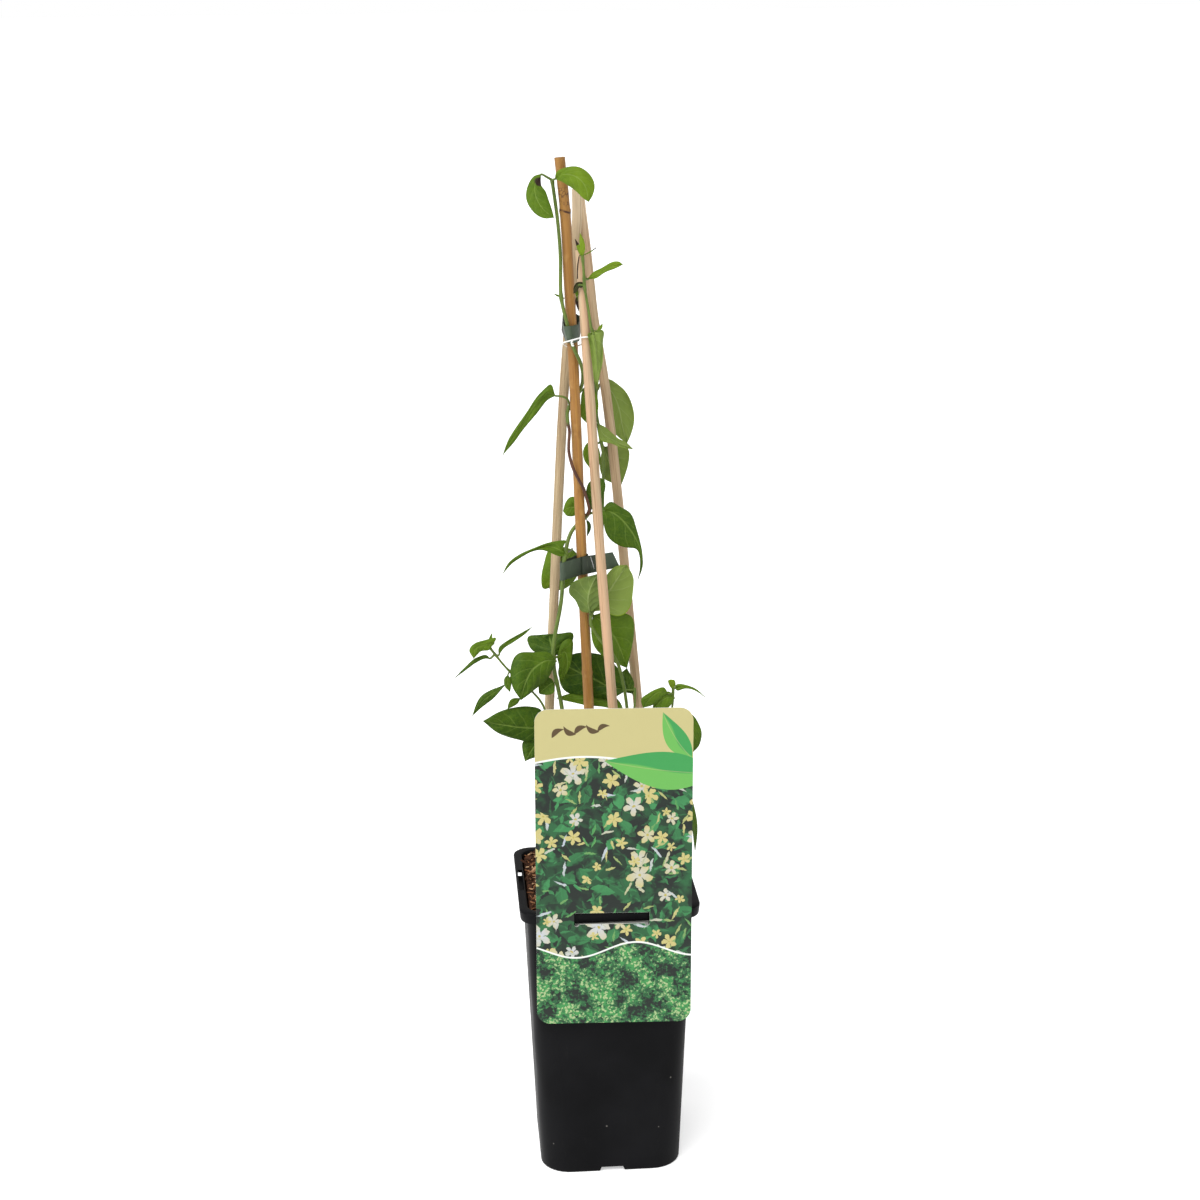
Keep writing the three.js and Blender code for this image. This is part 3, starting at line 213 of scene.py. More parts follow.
LEFT_LEAVES = [
    blade([(-42.6, -22, 337.5), (-54.9, -27, 339.2), (-69.3, -33, 342.9), (-86.8, -38, 348.9)],
      [(-50.7, -24, 328), (-62.2, -28, 330.6), (-72.1, -32, 335.2), (-79.8, -35, 341.4)],
      [(-44.5, -20, 349.6), (-54.5, -23, 353.6), (-65.9, -28, 354.8), (-76, -33, 353.5)], tone=0.12),
    blade([(-41.9, -20, 330.7), (-49.3, -24, 325.8), (-57.5, -28, 314.6)], [(-43, -24, 319.5)],
      [(-58.5, -24, 328.3), (-59.1, -26, 320.7)], tone=0.12),
    blade([(-69.8, -28, 372.3), (-77.7, -31, 367.7), (-86.4, -35, 362.7), (-94.4, -39, 353.2)],
      [(-74.1, -30, 368), (-80, -33, 362.6), (-88, -36, 357.9)], [(-76.2, -29, 370.4),
      (-85.6, -32, 367.1), (-89.9, -35, 363.5)], tone=0.12),
    blade([(-68.2, -28, 379.6), (-69.2, -30, 375.2), (-67.2, -31, 367.4)], [(-66, -29, 374)],
      [(-71.2, -30, 376.7), (-70.6, -31, 371.2)], tone=0.3),
    blade([(-59.5, -27, 361.3), (-64.5, -29, 359.9), (-69.3, -31, 354.8)], [(-62.3, -28, 357.3)],
      [(-65.9, -29, 361.8), (-68.4, -30.5, 359.1)], tone=0.35),
    blade([(-77.6, -30, 403.4), (-84.7, -32, 402.6), (-91.1, -35, 400.8), (-92.2, -37, 394.5)],
      [(-81.2, -30, 398.4), (-86.8, -33, 398.3), (-89.8, -35, 396.4)], [(-75.7, -29, 406.9),
      (-84.5, -31, 406), (-91.6, -34, 404.5), (-95.3, -36, 400.5)], tone=0.5),
    blade([(-80.6, -28.5, 391.6), (-86.2, -30, 393.4), (-94.7, -32, 389.2), (-105.4, -33, 379.9)],
      [(-84.8, -30, 391.9), (-90.5, -31.5, 389.7), (-97.6, -32.5, 385)], [(-83.3, -29, 394.8),
      (-91.9, -31, 392.4), (-98.3, -32, 387)], tone=0.15),
    blade([(-74.3, -27, 393.6), (-71.9, -25, 398), (-64, -22, 402.6), (-50.2, -16, 410.1)],
      [(-74.4, -25, 398.1), (-69.8, -24, 402), (-60.4, -20, 406)], [(-70.6, -25, 397.6),
      (-64.8, -23, 400.8), (-56.1, -19, 405.2)], tone=0.3),
    blade_on_line([(-80, -28, 399), (-80, -29, 405), (-79, -29, 410)], 3, FRONT, stalk=0.05),
    blade_on_line([(-33, -19, 270), (-38, -24, 278), (-42, -30, 262)], 12, FRONT_UP),
]
SIDE_LEAVES = [
    blade([(44.7, -28, 361), (38.7, -31, 364), (31.9, -35, 361.4), (25.9, -38, 354.5)],
      [(40.2, -30, 359.6), (34.8, -34, 355.8)], [(41.7, -29, 366.6), (35.2, -31, 365.6),
      (29.1, -35, 363.7), (24.6, -37, 360.9)], tone=0.45),
    blade([(49.2, -26, 357.2), (44.7, -28, 358.8), (39.4, -30, 356.6), (32.9, -32, 350.8)],
      [(47.5, -28, 353.5), (41.6, -30, 349.8)], [(46.3, -26, 362.1), (40.4, -28, 361.9),
      (35.2, -30, 358.3)], tone=0.5),
    blade([(48.4, -26.5, 363.3), (47.6, -27.5, 367.4), (46.9, -28, 371.7)], [(45.9, -27, 366.6),
      (44.7, -28, 371.3)], [(50.2, -27, 367.2), (49.4, -28, 371.2)], tone=0.85),
    blade([(49.8, -27, 364.9), (55.3, -29.5, 366.3), (62, -32, 365.7), (70.2, -35, 360.1)],
      [(50.5, -27, 367.5), (57.3, -30, 368), (64.8, -33, 365.2)], [(51.4, -28, 363), (56.6, -30, 365.3),
      (62.8, -32.5, 364.8)], tone=0.55),
    blade([(47.7, -26, 343.1), (56.7, -29, 344.5), (62, -33, 335.1), (61.5, -37, 320)],
      [(60.4, -28, 346.3), (66.5, -31, 338.8), (68.4, -33, 332.7), (65.9, -36, 324.1)],
      [(51.6, -29, 334.2), (55.4, -34, 325.2)], tone=0.2),
    blade_on_line([(36, -23, 302), (50, -38, 300), (60, -50, 274), (61, -54, 252)], 9, (0.6, -0.5, 0.5)),
    blade_on_line([(36, -23, 302), (47, -14, 312), (58, -6, 300)], 18, (0.3, 0, 0.9)),
]
BACK_LEAVES = [
    blade([(18.4, 5, 354.4), (6.4, 8, 356.1), (-6.4, 11, 362.5), (-18.4, 14, 368), (-29.9, 15, 374.1)],
      [(7.6, 6, 348), (-2.4, 9, 347.4), (-13, 11, 350.6), (-23.8, 13, 350.3), (-29.4, 15, 357.5)],
      [(12.4, 9, 370), (2.4, 11, 379.5), (-7.5, 12, 381.1), (-19.7, 14, 380.5)], tone=0.06),
    blade([(22.9, 6, 350.9), (19.5, 9, 357.6), (19.2, 13, 368.6)], [(12.8, 8, 353.7), (11.7, 10, 362.1)],
      [(24, 10, 358.7)], tone=0.15),
    blade_on_line([(22, 5, 332), (6, 10, 344), (-14, 11, 347), (-32, 11, 348)], 14, FRONT_UP),
    blade_on_line([(15, 8, 286), (15, 22, 298), (17, 38, 292), (20, 54, 274)], 17, (0.1, 0.4, 0.9)),
    blade_on_line([(14, 8, 284), (0, 22, 293), (-12, 36, 288), (-18, 50, 270)], 17, (-0.1, 0.4, 0.9)),
]

SHOOTS = {
    "main": {
        "slot": "vine_green", "radius": 1.6, "tip": 1.2, "ripe": (489, 549),
        "stem": [(-15, -7, 188), (-15, -7, 210), (-15, -7, 215), (-19, -10, 250), (-26, -13, 300),
            (-30, -13, 349), (-35.5, -11.5, 387), (-29, -10, 427), (-26, -9, 458), (-20, 3, 474),
            (-9, 4, 485), (-7.7, -1, 490), (-10, -5.2, 500), (-12.3, -6.4, 507.5), (-18.4, -6.6, 519.6),
            (-21.8, -5.5, 533), (-21.2, -5, 546), (-20.8, -2, 554), (-20.2, 2.4, 562), (-15, 5, 570),
            (-11.5, 4, 578), (-12, -5, 592), (-18.5, -7, 608), (-20.8, -6.6, 618), (-23.4, -6, 629),
            (-25.6, -5, 641), (-25.6, -4, 668.9), (-27.1, -3, 692.4), (-30.3, -1.7, 719.1)],
        "leaves": MAIN_LEAVES,
    },
    "right": {
        "slot": "vine_green", "radius": 1.3, "tip": 0.9,
        "stem": [(6, -9, 188), (6, -9, 210), (6, -9, 215), (12, -15, 260), (16, -20, 310), (16, -21, 350),
            (9, -17, 384), (-3, -15, 400), (-9, -13, 413), (-4, -9, 424), (0, -6, 440), (1.5, 2, 480),
            (3, 8, 509), (3.5, 14, 528), (1, 16, 542), (-0.5, 16, 556), (-1, 13, 572), (-3, 8, 586),
            (-4, 1, 597), (-3.5, -8, 608), (-4.5, -17, 614), (-6.3, -21.5, 620.9), (-8.4, -21.5, 635.3),
            (-10.6, -21.5, 649.7), (-10.9, -20.7, 659), (-11.6, -20, 670.2)],
        "leaves": RIGHT_LEAVES,
    },
    "left": {
        "slot": "vine_pale_green", "radius": 0.95, "tip": 0.75,
        "stem": [(-23, -17, 188), (-23, -17, 210), (-23, -17, 215), (-31, -19, 262), (-40, -19, 320),
            (-43, -18, 351), (-55, -21, 368), (-69, -25, 383), (-81, -28, 400)],
        "leaves": LEFT_LEAVES,
    },
    "side": {
        "slot": "vine_pale_green", "radius": 0.95, "tip": 0.75,
        "stem": [(15, -18, 188), (15, -18, 210), (15, -18, 215), (26, -22, 262), (40, -24, 318),
            (48, -25, 350), (48.5, -26.5, 366)],
        "leaves": SIDE_LEAVES,
    },
    "back": {
        "slot": "vine_dark_green", "radius": 1, "tip": 0.8,
        "stem": [(5, 10, 188), (5, 10, 210), (5, 10, 215), (12, 9, 262), (19, 7, 312), (24, 4, 345),
            (24, 5, 356)],
        "leaves": BACK_LEAVES,
    },
}

# ---- short ways to work -----------------------------------------------------------------------


def settings(key):
    """The values that the panel shows for one step."""
    return getattr(bpy.context.scene, "honeysuckle_" + key)


def deselect_all():
    """Nothing stays selected, in object mode."""
    active = bpy.context.view_layer.objects.active
    if active is not None and active.mode != "OBJECT":
        bpy.ops.object.mode_set(mode="OBJECT")
    bpy.ops.object.select_all(action="DESELECT")


def take(piece):
    """Selects one piece alone and makes it the active one."""
    deselect_all()
    piece.select_set(True)
    bpy.context.view_layer.objects.active = piece


def newest(name):
    """The object that an operator has just added, renamed."""
    piece = bpy.context.view_layer.objects.active
    piece.name = name
    piece.data.name = name
    return piece


def fresh(name, operator, **how):
    """Adds an object with one of Blender's operators, alone in the selection."""
    deselect_all()
    operator(**how)
    return newest(name)


def fix_place():
    """Moves the place, turn and size of the selected object into its mesh."""
    bpy.ops.object.transform_apply(location=True, rotation=True, scale=True)


@contextlib.contextmanager
def editing(kind="VERT"):
    """Edit mode with the whole mesh selected, and object mode again afterwards."""
    bpy.ops.object.mode_set(mode="EDIT")
    bpy.ops.mesh.select_mode(type=kind)
    bpy.ops.mesh.select_all(action="SELECT")
    yield
    bpy.ops.object.mode_set(mode="OBJECT")


def turn_outwards():
    """Makes every face of the mesh in edit mode point outwards."""
    bpy.ops.mesh.select_all(action="SELECT")
    bpy.ops.mesh.normals_make_consistent(inside=False)


def join(pieces, name):
    """Several pieces as one."""
    take(pieces[0])
    for piece in pieces:
        piece.select_set(True)
    bpy.ops.object.join()
    return newest(name)


def apply_all(piece):
    """Applies every modifier in order."""
    take(piece)
    for modifier in list(piece.modifiers):
        bpy.ops.object.modifier_apply(modifier=modifier.name)


def thicken(piece, thickness, offset=0):
    """Gives a sheet its thickness with a modifier, which is left to apply."""
    wall = piece.modifiers.new("wall", "SOLIDIFY")
    wall.thickness = thickness
    wall.offset = offset
    return wall


def smooth(piece, degrees):
    """Shades a piece smoothly, save at edges sharper than an angle."""
    take(piece)
    bpy.ops.object.shade_smooth_by_angle(angle=math.radians(degrees))


def paint(piece, *finishes):
    """Gives a piece its materials, each built by the function named for it."""
    piece.data.materials.clear()
    for build in finishes:
        piece.data.materials.append(shared(build))


def mark(piece, name, value):
    """Stores one number at every point of a piece."""
    attribute = piece.data.attributes.new(name, "FLOAT", "POINT")
    values = value if isinstance(value, list) else [value] * len(piece.data.vertices)
    attribute.data.foreach_set("value", values)


def settle(piece, node):
    """Lets the finished piece ride on the part in place of one of its nodes."""
    take(piece)
    fix_place()
    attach(piece, "root")
    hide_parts(node)


def finish(piece, degrees, material, node):
    """Shades, paints and settles a piece of one material."""
    smooth(piece, degrees)
    paint(piece, material)
    settle(piece, node)


# ---- smooth lines -----------------------------------------------------------------------------


def reaches(points):
    """How far along a line each of its points lies."""
    reach = [0.0]
    for a, b in zip(points, points[1:]):
        reach.append(reach[-1] + (b - a).length)
    return reach


def evenly(points, count):
    """count points with equal steps between them along a line of many points."""
    reach = reaches(points)
    found = []
    k = 0
    for i in range(count):
        target = reach[-1] * i / (count - 1)
        while k + 2 < len(reach) and reach[k + 1] < target:
            k += 1
        step = max(reach[k + 1] - reach[k], 1e-9)
        found.append(points[k].lerp(points[k + 1], min(1, (target - reach[k]) / step)))
    return found


def along(points, count):
    """count evenly spaced points on a smooth line through the given ones."""
    pts = [Vector(p) for p in points]
    pts = [pts[0] * 2 - pts[1]] + pts + [pts[-1] * 2 - pts[-2]]
    fine = []
    for a, b, c, d in zip(pts, pts[1:], pts[2:], pts[3:]):
        before, here, after = (max((q - p).length, 1e-4) ** 0.5 for p, q in ((a, b), (b, c), (c, d)))
        leave = ((b - a) / before - (c - a) / (before + here) + (c - b) / here) * here
        arrive = ((c - b) / here - (d - b) / (here + after) + (d - c) / after) * here
        bend = (c - b) * 3 - leave * 2 - arrive
        close = (b - c) * 2 + leave + arrive
        for step in range(20):
            t = step / 20
            fine.append(b + leave * t + bend * t * t + close * t * t * t)
    fine.append(pts[-2])
    return evenly(fine, count)


AXES = {name: along(cane["line"], 80) for name, cane in CANES.items()}


def cane_at(name, z):
    """Centre of a cane at a height, or None above and below it."""
    for upper, lower in zip(AXES[name], AXES[name][1:]):
        if lower.z <= z <= upper.z:
            return upper.lerp(lower, (upper.z - z) / max(upper.z - lower.z, 1e-6)).to_2d()
    return None


def clear_of_canes(point, distance):
    """The point pushed sideways until it is the given distance clear of every cane."""
    for name, cane in CANES.items():
        top = cane["line"][0][2]
        centre = cane_at(name, min(point.z, top))
        if centre is None or point.z > top + distance:
            continue
        away = point.to_2d() - centre
        reach = cane["radius"] + distance
        if 1e-6 < away.length < reach:
            away = away.normalized() * reach
            point = Vector((centre.x + away.x, centre.y + away.y, point.z))
    return point


def finder(points):
    """A tree that finds the nearest of some points."""
    tree = KDTree(len(points))
    for i, point in enumerate(points):
        tree.insert(point, i)
    tree.balance()
    return tree


def frames_along(points):
    """A tangent and two steady cross directions at each point of a line."""
    last = len(points) - 1
    tangents = [(points[min(i + 1, last)] - points[max(i - 1, 0)]).normalized() for i in range(last + 1)]
    side = tangents[0].orthogonal().normalized()
    frames = []
    for tangent in tangents:
        side = (side - tangent * side.dot(tangent)).normalized()
        frames.append((tangent, side, tangent.cross(side)))
    return frames


def tube(name, points, radii, resolution):
    """Round tube along a line, made from a curve, with lengthwise coordinates at its points."""
    deselect_all()
    bpy.ops.curve.primitive_bezier_curve_add()
    curve = bpy.context.object.data
    curve.splines.clear()
    spline = curve.splines.new("POLY")
    spline.points.add(len(points) - 1)
    for knot, point, radius in zip(spline.points, points, radii):
        knot.co = (*(Vector(point) * MM), 1)
        knot.radius = radius
    curve.dimensions = "3D"
    curve.bevel_depth = MM
    curve.bevel_resolution = resolution
    curve.use_fill_caps = True
    bpy.ops.object.convert(target="MESH")
    piece = newest(name)
    lay_straight(piece, points)
    return piece


def lay_straight(piece, points):
    """Marks each point of a tube with its place on the same tube laid out straight, in metres."""
    frames = frames_along(points)
    reach = reaches(points)
    tree = finder([point * MM for point in points])
    values = []
    for vertex in piece.data.vertices:
        _, i, _ = tree.find(vertex.co)
        tangent, side, other = frames[i]
        offset = vertex.co - points[i] * MM
        values += [offset.dot(side), offset.dot(other), reach[i] * MM + offset.dot(tangent)]
    attribute = piece.data.attributes.new("grain", "FLOAT_VECTOR", "POINT")
    attribute.data.foreach_set("vector", values)

# ---- materials --------------------------------------------------------------------------------

# Inputs of node groups that hold a place. The others are plain numbers.
COORDINATES = ("Vector", "Point", "Centre")
# Side veins on each half of a leaf, and how far they sweep towards its tip.
VEIN_PAIRS, VEIN_SWEEP = 5.5, 0.42


class Wire:
    """An output in a node tree. Plain sums and products of wires add the nodes for them."""

    def __init__(self, nodes, socket):
        self.nodes = nodes
        self.socket = socket

    def __getitem__(self, name):
        """Another output of the same node."""
        return Wire(self.nodes, self.socket.node.outputs[name])

    def __add__(self, other):
        return self.nodes.math("ADD", self, other)

    def __radd__(self, other):
        return self.nodes.math("ADD", other, self)

    def __sub__(self, other):
        return self.nodes.math("SUBTRACT", self, other)

    def __rsub__(self, other):
        return self.nodes.math("SUBTRACT", other, self)

    def __mul__(self, other):
        return self.nodes.math("MULTIPLY", self, other)

    def __abs__(self):
        return self.nodes.math("ABSOLUTE", self)


class Nodes:
    """A node tree with short ways to add its nodes, and its end, a shader or a group's output."""

    def __init__(self, owner, tree, end):
        self.owner = owner
        self.tree = tree
        self.end = end

    def feed(self, socket, value):
        if isinstance(value, Wire):
            self.tree.links.new(value.socket, socket)
        elif isinstance(value, Color):
            socket.default_value = (*value, 1)
        else:
            socket.default_value = value

    def give(self, **values):
        """Feeds the tree's end by the names of its inputs; gives the material or the group."""
        for name, value in values.items():
            name = name.replace("_", " ")
            if self.owner == self.tree:
                self.tree.interface.new_socket(name=name, in_out="OUTPUT", socket_type="NodeSocketFloat")
            self.feed(self.end.inputs[name], value)
        return self.owner

    def add(self, kind, inputs=(), **settings):
        """Adds a node, sets it up and feeds its inputs, in order or by their names."""
        made = self.tree.nodes.new(kind)
        for name, value in settings.items():
            setattr(made, name, value)
        for key, value in inputs.items() if isinstance(inputs, dict) else enumerate(inputs):
            self.feed(made.inputs[key], value)
        return Wire(self, made.outputs[0])

    def math(self, operation, a, b=0.0):
        return self.add("ShaderNodeMath", (a, b), operation=operation)

    def clamp(self, value):
        return self.add("ShaderNodeClamp", (value,))

    def span(self, value, low, high, start=0.0, end=1.0):
        """A value mapped smoothly from one range to another."""
        ends = (value, low, high, start, end)
        return self.add("ShaderNodeMapRange", ends, interpolation_type="SMOOTHSTEP")

    def vector(self, operation, a, b=(0, 0, 0)):
        return self.add("ShaderNodeVectorMath", (a, b), operation=operation)

    def times(self, vector, factor):
        return self.add("ShaderNodeVectorMath", {"Vector": vector, "Scale": factor}, operation="SCALE")

    def turned(self, vector, angle):
        inputs = {"Vector": vector, "Angle": angle}
        return self.add("ShaderNodeVectorRotate", inputs, rotation_type="Z_AXIS")

    def parts(self, vector):
        made = self.add("ShaderNodeSeparateXYZ", (vector,))
        return [made[axis] for axis in "XYZ"]

    def point(self, x=0.0, y=0.0, z=0.0):
        return self.add("ShaderNodeCombineXYZ", (x, y, z))

    def noise(self, vector, scale, detail=3.0, rough=0.5, bend=0.0):
        inputs = {"Vector": vector, "Scale": scale, "Detail": detail, "Roughness": rough, "Distortion": bend}
        return self.add("ShaderNodeTexNoise", inputs)

    def cells(self, vector, scale, feature="F1", dimensions="3D"):
        inputs = {"Vector": vector, "Scale": scale}
        return self.add("ShaderNodeTexVoronoi", inputs, feature=feature, voronoi_dimensions=dimensions)

    def mix(self, share, a, b):
        return self.add("ShaderNodeMix", {0: share, 6: a, 7: b}, data_type="RGBA")[2]

    def ramp(self, share, *stops):
        made = self.add("ShaderNodeValToRGB", (share,))
        band = made.socket.node.color_ramp.elements
        while len(band) < len(stops):
            band.new(0.5)
        for element, (place, colour) in zip(band, stops):
            element.position = place
            element.color = (*colour, 1)
        return made

    def bump(self, height, strength, distance, **normal):
        inputs = {"Strength": strength, "Distance": distance, "Height": height, **normal}
        return self.add("ShaderNodeBump", inputs)

    def place(self, kind="Object"):
        return self.add("ShaderNodeTexCoord")[kind]

    def attribute(self, name, output="Fac"):
        return self.add("ShaderNodeAttribute", attribute_name=name)[output]

    def scaled(self, vector, scale, location=(0, 0, 0), rotation=(0, 0, 0)):
        inputs = {"Vector": vector, "Location": location, "Rotation": rotation, "Scale": scale}
        return self.add("ShaderNodeMapping", inputs)

    def group(self, build, **inputs):
        return self.add("ShaderNodeGroup", inputs, node_tree=shared(build))


def new_material(name, **constants):
    """An empty material, with the shader's plain values set on its sockets."""
    material = bpy.data.materials.new(name)
    material.use_nodes = True
    shader = material.node_tree.nodes["Principled BSDF"]
    for key, value in constants.items():
        shader.inputs[key.replace("_", " ")].default_value = value
    return Nodes(material, material.node_tree, shader)


def new_group(name, *inputs):
    """An empty node group, and its inputs by name."""
    tree = bpy.data.node_groups.new(name, "ShaderNodeTree")
    for socket in inputs:
        kind = "NodeSocketVector" if socket in COORDINATES else "NodeSocketFloat"
        tree.interface.new_socket(name=socket, in_out="INPUT", socket_type=kind)
    n = Nodes(tree, tree, tree.nodes.new("NodeGroupOutput"))
    return n, n.add("NodeGroupInput")


def shared(build):
    """A node group or material that is built once and then found again by its function's name."""
    name = build.__name__
    return bpy.data.node_groups.get(name) or bpy.data.materials.get(name) or build(name)


def lengthwise_grain(name):
    """Fine streaks that run along a cane or stem, and the height of their relief."""
    n, given = new_group(name, "Vector", "Stretch")
    x, y, z = n.parts(given["Vector"])
    laid = n.point(x, y, z * given["Stretch"])
    broad = n.noise(laid, 420, 3, 0.6)
    fine = n.noise(laid, 2200, 4, 0.6)
    return n.give(Streaks=broad * 0.55 + fine * 0.45, Height=fine)


def leaf_veins(name):
    """Midrib, side veins that sweep to the tip, and the fine net between them."""
    n, given = new_group(name, "Vector", "Pairs")
    u, v, _ = n.parts(given["Vector"])
    across = abs(u * 2 - 1)
    wander = (n.noise(n.point(u, v), 5, 1) - 0.5) * 0.05
    sweep = v - (across * VEIN_SWEEP - across * across * 0.12)
    nearness = abs(n.math("FRACT", (sweep + wander) * given["Pairs"]) - 0.5)
    side = n.span(nearness, 0, 0.09, 1, 0) * n.span(across, 0.5, 0.98, 1, 0.15)
    rib = n.span(across, 0.015, 0.07, 1, 0)
    net = n.span(n.cells(n.point(u * 1.2, v * 2.2), 17, "DISTANCE_TO_EDGE", "2D"), 0, 0.09, 1, 0)
    pillow = n.span(nearness, 0, 0.5)
    sunk = rib * 0.9 + (side * 0.35 + net * 0.1)
    return n.give(Midrib=rib, Side_Veins=side, Net=net, Height=pillow * 0.55 - sunk)


def leaf_upper(name):
    """Upper side of a leaf: deep to bright green with pale veins and a soft gloss."""
    look = settings("shoots")
    n = new_material(name, Specular_IOR_Level=0.13)
    veins = n.group(leaf_veins, Vector=n.place("UV"), Pairs=VEIN_PAIRS)
    place = n.place()
    # The tone mark moves the green from deep to bright: partly the leaf's own age, partly painted light and
    # shade, low for leaves in shade and high for lit ones.
    tone = n.clamp(n.attribute("tone") + (n.noise(place, 55, 3) - 0.5) * 0.5)
    green = n.ramp(tone, (0, look.leaf_deep), (0.5, look.leaf_green), (1, look.leaf_bright))
    green = n.mix(n.span(n.noise(place, 420, 4, 0.6), 0.35, 0.7, 0, 0.13), green, look.leaf_bright)
    for kind, share in (("Side Veins", 0.2), ("Net", 0.1), ("Midrib", 0.42)):
        green = n.mix(veins[kind] * share, green, look.vein)
    grain = n.bump(n.noise(place, 1400, 3), 0.12, 0.0003)
    return n.give(
        Base_Color=n.mix(n.span(n.attribute("dry"), 0.35, 0.65), green, look.withered),
        Roughness=n.span(n.noise(place, 300, 3), 0.3, 0.7, 0.42, 0.56),
        Normal=n.bump(veins["Height"], 0.45, 0.0007, Normal=grain),
    )


def leaf_under(name):
    """Underside of a leaf: paler and dull, with raised veins."""
    look = settings("shoots")
    n = new_material(name, Specular_IOR_Level=0.15)
    veins = n.group(leaf_veins, Vector=n.place("UV"), Pairs=VEIN_PAIRS)
    patch = n.noise(n.place(), 70, 3)
    # The painted light and shade carried by the tone mark reach the underside too.
    paler = (n.attribute("tone") - 0.5) * 0.8
    green = n.mix(n.span(patch - paler, 0.3, 0.7), look.underside, look.underside_deep)
    green = n.mix(veins["Side Veins"] * 0.3, green, look.underside_vein)
    green = n.mix(veins["Net"] * 0.12, green, look.underside_deep)
    green = n.mix(veins["Midrib"] * 0.6, green, look.underside_vein)
    return n.give(
        Base_Color=n.mix(n.span(n.attribute("dry"), 0.35, 0.65), green, look.withered),
        Roughness=n.span(patch, 0.3, 0.7, 0.55, 0.7),
        Normal=n.bump(veins["Height"] * -1, 0.5, 0.0007),
    )


def vine_stem(name):
    """Twining stem: green, ripening to brown where its mark says, with fine ridges and hairs."""
    look = settings("shoots")
    n = new_material(name, Specular_IOR_Level=0.35)
    grain = n.group(lengthwise_grain, Vector=n.attribute("grain", "Vector"), Stretch=0.12)
    streaks = grain["Streaks"]
    green = n.mix(n.span(streaks, 0.35, 0.65), look.stem_deep, look.stem_green)
    ripe = n.clamp(n.attribute("ripe") + (streaks - 0.5) * 0.5)
    brown = n.mix(n.span(streaks, 0.4, 0.6), look.stem_brown, look.stem_tan)
    return n.give(
        Base_Color=n.mix(n.span(ripe, 0.3, 0.7), green, brown),
        Roughness=n.span(streaks, 0.3, 0.7, 0.42, 0.6),
        Normal=n.bump(grain["Height"], 0.3, 0.0002),
    )


def golden_bamboo(name):
    """Golden brown bamboo with darker streaks, blotches and scarred rings at its nodes."""
    look = settings("canes")
    n = new_material(name, Specular_IOR_Level=0.4)
    laid = n.attribute("grain", "Vector")
    grain = n.group(lengthwise_grain, Vector=laid, Stretch=0.03)
    gold = n.mix(n.span(grain["Streaks"], 0.38, 0.62), look.bamboo_deep, look.bamboo)
    blotch = n.noise(n.scaled(laid, (1, 1, 0.35)), 90, 4, 0.65, 1.5)
    gold = n.mix(n.span(blotch, 0.52, 0.72, 0, 0.75), gold, look.bamboo_deep)
    gold = n.mix(n.span(n.noise(laid, 130, 2), 0.55, 0.75, 0, 0.35), gold, look.bamboo_pale)
    place = n.place()
    x, _, z = n.parts(place)
    # The upper ring slants across the cane, and the skin is cracked just above it.
    slanted = z + (x + 0.0217) * 0.32
    from_ring = abs(slanted - look.ring_height)
    ring = n.span(from_ring, 0.0003, 0.0011, 1, 0) * n.span(n.noise(place, 300, 2), 0.35, 0.55, 0.35, 1)
    crack = n.span(n.cells(place, 420, "DISTANCE_TO_EDGE"), 0.03, 0.11, 1, 0)
    from_crack = abs(z - (look.ring_height + 0.01))
    cracked = n.span(from_crack, 0.004, 0.0075, 1, 0) * n.span(n.noise(place, 260, 2), 0.42, 0.55)
    gold = n.mix(n.span(z, 0.6, 0.72, 0, 0.4), gold, look.bamboo_deep)
    scar = n.clamp(ring + n.attribute("ring") * 0.25 + crack * cracked)
    return n.give(
        Base_Color=n.mix(scar, gold, look.bamboo_scar),
        Roughness=n.span(grain["Streaks"], 0.3, 0.7, 0.38, 0.55),
        Normal=n.bump(grain["Height"], 0.25, 0.0002),
    )


def split_cane(name):
    """Pale split cane: tan with a pink cast, straight grain, a few darker fibres and painted light over its
    top.
    """
    look = settings("canes")
    n = new_material(name, Specular_IOR_Level=0.3)
    laid = n.attribute("grain", "Vector")
    grain = n.group(lengthwise_grain, Vector=laid, Stretch=0.02)
    tan = n.mix(n.span(grain["Streaks"], 0.36, 0.64), look.pale_deep, look.pale)
    blush = n.span(n.noise(n.scaled(laid, (1, 1, 0.06)), 150, 2), 0.35, 0.7, 0.2, 1)
    tan = n.mix(blush * n.attribute("tint"), tan, look.pale_pink)
    _, _, z = n.parts(n.place())
    # Painted light: the split canes turn paler over their upper ends, standing in for the light that falls
    # on their tops.
    tan = n.mix(n.span(z, 0.67, 0.7, 0, 0.65), tan, look.pale_top)
    fibre = n.span(n.noise(n.scaled(laid, (1, 1, 0.02)), 1100, 3), 0.54, 0.68)
    return n.give(
        Base_Color=n.mix(fibre * 0.55, tan, look.pale_fibre),
        Roughness=n.span(grain["Streaks"], 0.3, 0.7, 0.6, 0.78),
        Normal=n.bump(grain["Height"], 0.5, 0.0003),
    )


def satin_plastic(name):
    """Near-black moulded plastic: satin, faint scuffs and a few pale specks of dust."""
    look = settings("pot")
    n = new_material(name, Specular_IOR_Level=0.06)
    place = n.place()
    cloud = n.noise(place, 18, 3)
    black = n.mix(n.span(cloud, 0.3, 0.7), look.colour, look.colour_worn)
    scuff = n.noise(n.scaled(place, (1, 1, 0.12), rotation=(0.2, 0.1, 0)), 260, 4, 0.7)
    black = n.mix(n.span(scuff, 0.66, 0.85, 0, 0.12), black, look.colour_dust)
    return n.give(
        Base_Color=n.mix(n.span(n.cells(place, 62), 0.03, 0.05, 0.6, 0), black, look.colour_dust),
        Roughness=n.span(cloud, 0.3, 0.7, 0.36, 0.5),
        Normal=n.bump(n.noise(place, 1500, 2), 0.08, 0.0002),
    )


